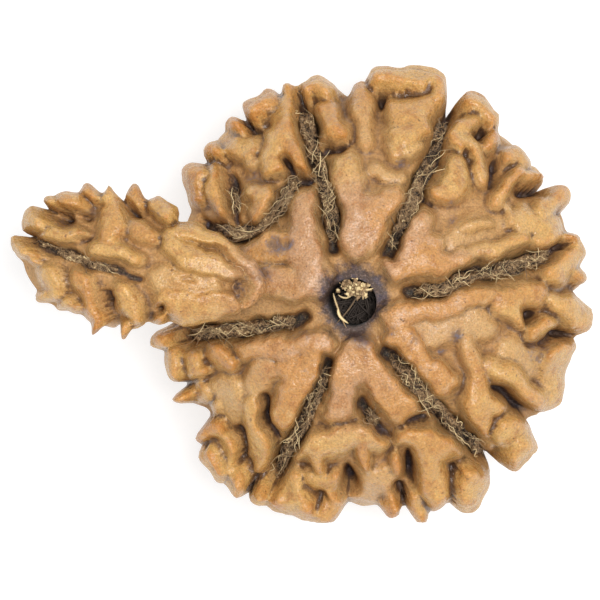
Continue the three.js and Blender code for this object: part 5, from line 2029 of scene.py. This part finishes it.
@dataclass
class FibreMat(LoosePart):
    """Dry fibre matted in one seed's grooves and deep pits."""

    seed: Seed
    tangle: Tangle = field(default_factory=Tangle)
    bedding: Bedding = field(default_factory=Bedding)
    pits_within: float = 11.2
    pit_width: float = 0.38
    height_rounds: int = 30
    height_step: float = 0.6

    def on_envelope(self, lines: Array) -> Array:
        """Lines with heights over the envelope turned into points of the part's frame.

        The level coordinates are taken as they are; the height is that of the place on the
        ray, found in a few rounds, whose plan is the one wanted.

        Args:
            lines: places seen from above plus height over the envelope.

        Returns:
            Points of the part, in the same order.
        """
        flat, height = lines[..., :2].reshape(-1, 2), lines[..., 2].ravel()
        level = self.seed.centre[2] + self.seed.semi_axes[2]
        guess = np.concatenate([flat, np.full((len(flat), 1), level)], axis=-1)
        for _ in range(self.height_rounds):
            direction = self.seed.direction_of(self.seed.unturned(guess))
            share = np.maximum(1 + height / self.seed.ray_length(direction), DEEPEST)
            target = self.seed.turned(self.seed.place(direction, share))
            guess[:, 2] += self.height_step * (target[:, 2] - guess[:, 2])
        return (guess - np.array([*FOOTPRINT_CENTRE, -REST_HEIGHT])).reshape(lines.shape)

    def holds_fibre(self, depth: float, chain: Chain) -> bool:
        """Whether a pit is wide and deep, and lies well inside the seed's outline."""
        inside = np.linalg.norm(chain.at[-1] - self.seed.centre[:2]) < self.pits_within
        return chain.width[0] > self.pit_width and depth > DARK_PIT and inside

    def layers(self) -> list[Layer]:
        """Strands of all the seed's grooves and deep pits, then the crumbs under them.

        Returns:
            The strands, then one layer of crumbs for each bed.
        """
        chance = np.random.default_rng(RANDOM_SEED)
        rule, tangle = self.seed.upper, self.tangle
        beds = [Bed.of(chain, rule.groove_depth) for chain in rule.grooves]
        beds += [Bed.of(chain, depth) for depth, chain in rule.pits if self.holds_fibre(depth, chain)]
        lines = self.on_envelope(np.concatenate([tangle.lines(bed, chance) for bed in beds]))
        radius, shade = (chance.uniform(*ends, len(lines)) for ends in (tangle.radius, (0, 1)))
        layers = [tangle.strands.layer(lines, radius, shade)]
        for bed in beds:
            strip = self.bedding.strip(bed, chance)
            layers.append(Layer(self.on_envelope(strip.points), strip.faces, strip.shades))
        return layers


@dataclass
class HoleFill(LoosePart):
    """What is left of the fruit in the stringing hole: fibre low down, painted dark as the shade deep in the
    hole, and crumbs by its edge.

    Depths are below the middle of the hole's upper rim, in millimetres.
    """

    strands: Strands = Strands(sides=4, knots=12)
    rim_sink: float = 0.35
    plug_count: int = 420
    plug_depth: Pair = (3.0, 6.5)
    plug_tilt: float = 0.3
    plug_overlap: float = 0.1
    plug_turn: Pair = (0.5, 1.5)
    plug_bulge: float = 0.35
    plug_radius: Pair = (0.03, 0.07)
    # Dark: painted shade of the deep hole
    plug_painted_shade: Pair = (0, 0.05)
    crumb_count: int = 190
    crumb_rings: int = 7
    crumb_columns: int = 10
    crumb_poles: float = 0.05
    crumb_radius: Pair = (0.04, 0.12)
    crumb_stretch: Pair = (0.75, 1.25)
    crumb_middle: Pair = (0.35, 0.85)
    crumb_heap: Pair = (0.85, 0.5)
    crumb_scatter: float = 0.45
    crumb_depth: Pair = (0.25, 1.0)
    crumb_waves: float = 2.6
    crumb_wave_start: Pair = (0, 6)
    crumb_dents: float = 0.75
    crumb_shade: Pair = (0.2, 1.0)

    def top(self) -> Array:
        """Middle of the hole's upper rim, in the part's frame."""
        height = REST_HEIGHT + LARGE_HALF_HEIGHT - self.rim_sink
        return np.array([HOLE_AT[0] - FOOTPRINT_CENTRE[0], HOLE_AT[1] - FOOTPRINT_CENTRE[1], height])

    def plug(self, chance: Chance) -> Layer:
        """Strands from wall to wall, low in the hole, painted dark as the shade deep in it: straight lines
        that bulge by a half sine.

        Args:
            chance: the draws.

        Returns:
            The strands.
        """
        count = self.plug_count
        angle = chance.uniform(0, 2 * math.pi, count)
        turn = angle + chance.uniform(*self.plug_turn, count) * math.pi
        reach = HOLE_RADIUS + self.plug_overlap
        first, last = (np.stack([np.cos(a), np.sin(a)], axis=-1)[:, None] * reach for a in (angle, turn))
        t = np.linspace(0, 1, self.strands.knots)[None, :, None]
        bulge = chance.normal(0, self.plug_bulge, (count, 1, 2)) * np.sin(math.pi * t)
        depth = chance.uniform(*self.plug_depth, (count, 1, 1))
        depth = depth + chance.normal(0, self.plug_tilt, (count, 1, 1)) * t
        lines = np.concatenate([first * (1 - t) + last * t + bulge, -depth], axis=-1) + self.top()
        radius, shade = (chance.uniform(*ends, count) for ends in (self.plug_radius, self.plug_painted_shade))
        return self.strands.layer(lines, radius, shade)

    def threads(self) -> Layer:
        """A few pale threads across the hole near its top: each an arc bent by its middle point.

        Returns:
            The threads.
        """
        rows = np.array(HOLE_THREADS)
        t = np.linspace(0, 1, self.strands.knots)[None, :, None]
        start, middle, end = rows[:, None, 0:3], rows[:, None, 3:6], rows[:, None, 6:9]
        lines = start * (1 - t) ** 2 + middle * 2 * t * (1 - t) + end * t**2 + self.top()
        return self.strands.layer(lines, rows[:, 9], rows[:, 10])

    def crumbs(self, chance: Chance) -> Layer:
        """Lumps in a heap: spheres of rings and columns, dented by waves of their own.

        Args:
            chance: the draws.

        Returns:
            The crumbs.
        """
        count = self.crumb_count
        polar = np.linspace(self.crumb_poles, math.pi - self.crumb_poles, self.crumb_rings)
        around = np.linspace(0, 2 * math.pi, self.crumb_columns, endpoint=False)
        polar, around = np.meshgrid(polar, around, indexing="ij")
        level = np.sin(polar)
        sphere = np.stack([level * np.cos(around), level * np.sin(around), np.cos(polar)], axis=-1)
        sphere = sphere.reshape(-1, 3)
        spot = chance.normal(0, self.crumb_scatter, (count, 2)) * self.crumb_heap + self.crumb_middle
        depth = chance.uniform(*self.crumb_depth, count)
        middle = np.concatenate([spot, -depth[:, None]], axis=-1) + self.top()
        radius = chance.uniform(*self.crumb_radius, (count, 1, 1))
        radius = radius * chance.uniform(*self.crumb_stretch, (count, 1, 3))
        runs = chance.normal(0, self.crumb_waves, (3, 3 * count))
        waves = np.sin(sphere @ runs + chance.uniform(*self.crumb_wave_start, 3 * count))
        waves = waves.reshape(len(sphere), count, 3).transpose(1, 0, 2).mean(axis=2, keepdims=True)
        points = middle[:, None] + radius * (1 + self.crumb_dents * waves) * sphere
        faces = grid_faces(self.crumb_rings, self.crumb_columns, closed_rows=False)
        faces = (np.arange(count)[:, None, None] * len(sphere) + faces).reshape(-1, 4)
        shade = chance.uniform(*self.crumb_shade, count).repeat(len(sphere))
        return Layer(points.reshape(-1, 3), faces, shade)

    def layers(self) -> list[Layer]:
        """Plug, threads and crumbs."""
        chance = np.random.default_rng(RANDOM_SEED + 1)
        return [self.plug(chance), self.threads(), self.crumbs(chance)]


@dataclass(frozen=True)
class Stage:
    """Glowing white floor, white sky, a soft key light and a long lens straight above.

    Sizes are in millimetres.
    """

    view_centre: Pair = (-4.45 - FOOTPRINT_CENTRE[0], -0.305 - FOOTPRINT_CENTRE[1])
    view_width: float = 36.6
    view_distance: float = 700.0
    view_end: float = 10000.0
    sensor_width: float = 36.0
    floor_half_width: float = 400.0
    floor_grey: float = 0.5
    floor_glow: float = 0.6
    sky_light: float = 0.72
    key_power: float = 1.6
    key_size: float = 150.0
    key_place: Triple = (60.0, 10.0, 440.0)

    def camera(self) -> None:
        """Camera straight above, which sees the view's width at the seed's middle height."""
        data = bpy.data.cameras.new("camera")
        data.sensor_width = self.sensor_width
        data.lens = self.sensor_width * self.view_distance / self.view_width
        data.clip_end = self.view_end * MM
        camera = bpy.data.objects.new("camera", data)
        camera.location = Vector((*self.view_centre, self.view_distance + REST_HEIGHT)) * MM
        bpy.context.scene.collection.objects.link(camera)
        bpy.context.scene.camera = camera

    def floor(self) -> None:
        """White floor that glows like a light table."""
        half = self.floor_half_width
        corners = np.array([(-half, -half, 0.0), (half, -half, 0.0), (half, half, 0.0), (-half, half, 0.0)])
        floor = make_mesh("floor", corners, [(0, 1, 2, 3)], {})
        sheet = Sheet("floor_white")
        sheet.shade(
            Base_Color=(*[self.floor_grey] * 3, 1.0),
            Roughness=1.0,
            Specular_IOR_Level=0.0,
            Emission_Color=WHITE,
            Emission_Strength=self.floor_glow,
        )
        floor.data.materials.append(sheet.material)

    def sky(self) -> None:
        """White sky."""
        world = bpy.data.worlds.new("sky")
        world.use_nodes = True
        background = world.node_tree.nodes["Background"]
        background.inputs["Color"].default_value = WHITE
        background.inputs["Strength"].default_value = self.sky_light
        bpy.context.scene.world = world

    def key(self) -> None:
        """Round soft light, high up to the right, turned to the seed."""
        lamp = bpy.data.lights.new("key", "AREA")
        lamp.shape = "DISK"
        lamp.size = self.key_size * MM
        lamp.energy = self.key_power
        key = bpy.data.objects.new("key", lamp)
        key.location = Vector(self.key_place) * MM
        key.rotation_euler = Vector(self.key_place).to_track_quat("Z", "Y").to_euler()
        bpy.context.scene.collection.objects.link(key)

    def build(self) -> None:
        """Floor, sky, key light, and colours shown as they are."""
        self.floor()
        self.sky()
        self.key()
        bpy.context.scene.view_settings.view_transform = "Standard"


def main() -> None:
    """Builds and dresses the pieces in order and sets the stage."""
    logging.basicConfig(level=logging.INFO, format="%(message)s")
    stage = Stage()
    stage.camera()
    large, slim = LargeSeed("large_seed"), SlimSeed("slim_seed")
    skins = [(part, part.build()) for part in (large, slim)]
    mats = [
        FibreMat("large_fibre", large.seed),
        FibreMat("slim_fibre", slim.seed, Tangle(sunk=(0.3, 1.4))),
        HoleFill("hole_fibre"),
    ]
    loose = [(part, part.build()) for part in mats]
    for parts, finish in ((skins, SeedFinish()), (loose, FibreFinish())):
        material = finish.material()
        for part, piece in parts:
            part.dress(piece, material)
            log.info("%s: %d faces", piece.name, len(piece.data.polygons))
    stage.build()


if __name__ == "__main__":
    main()
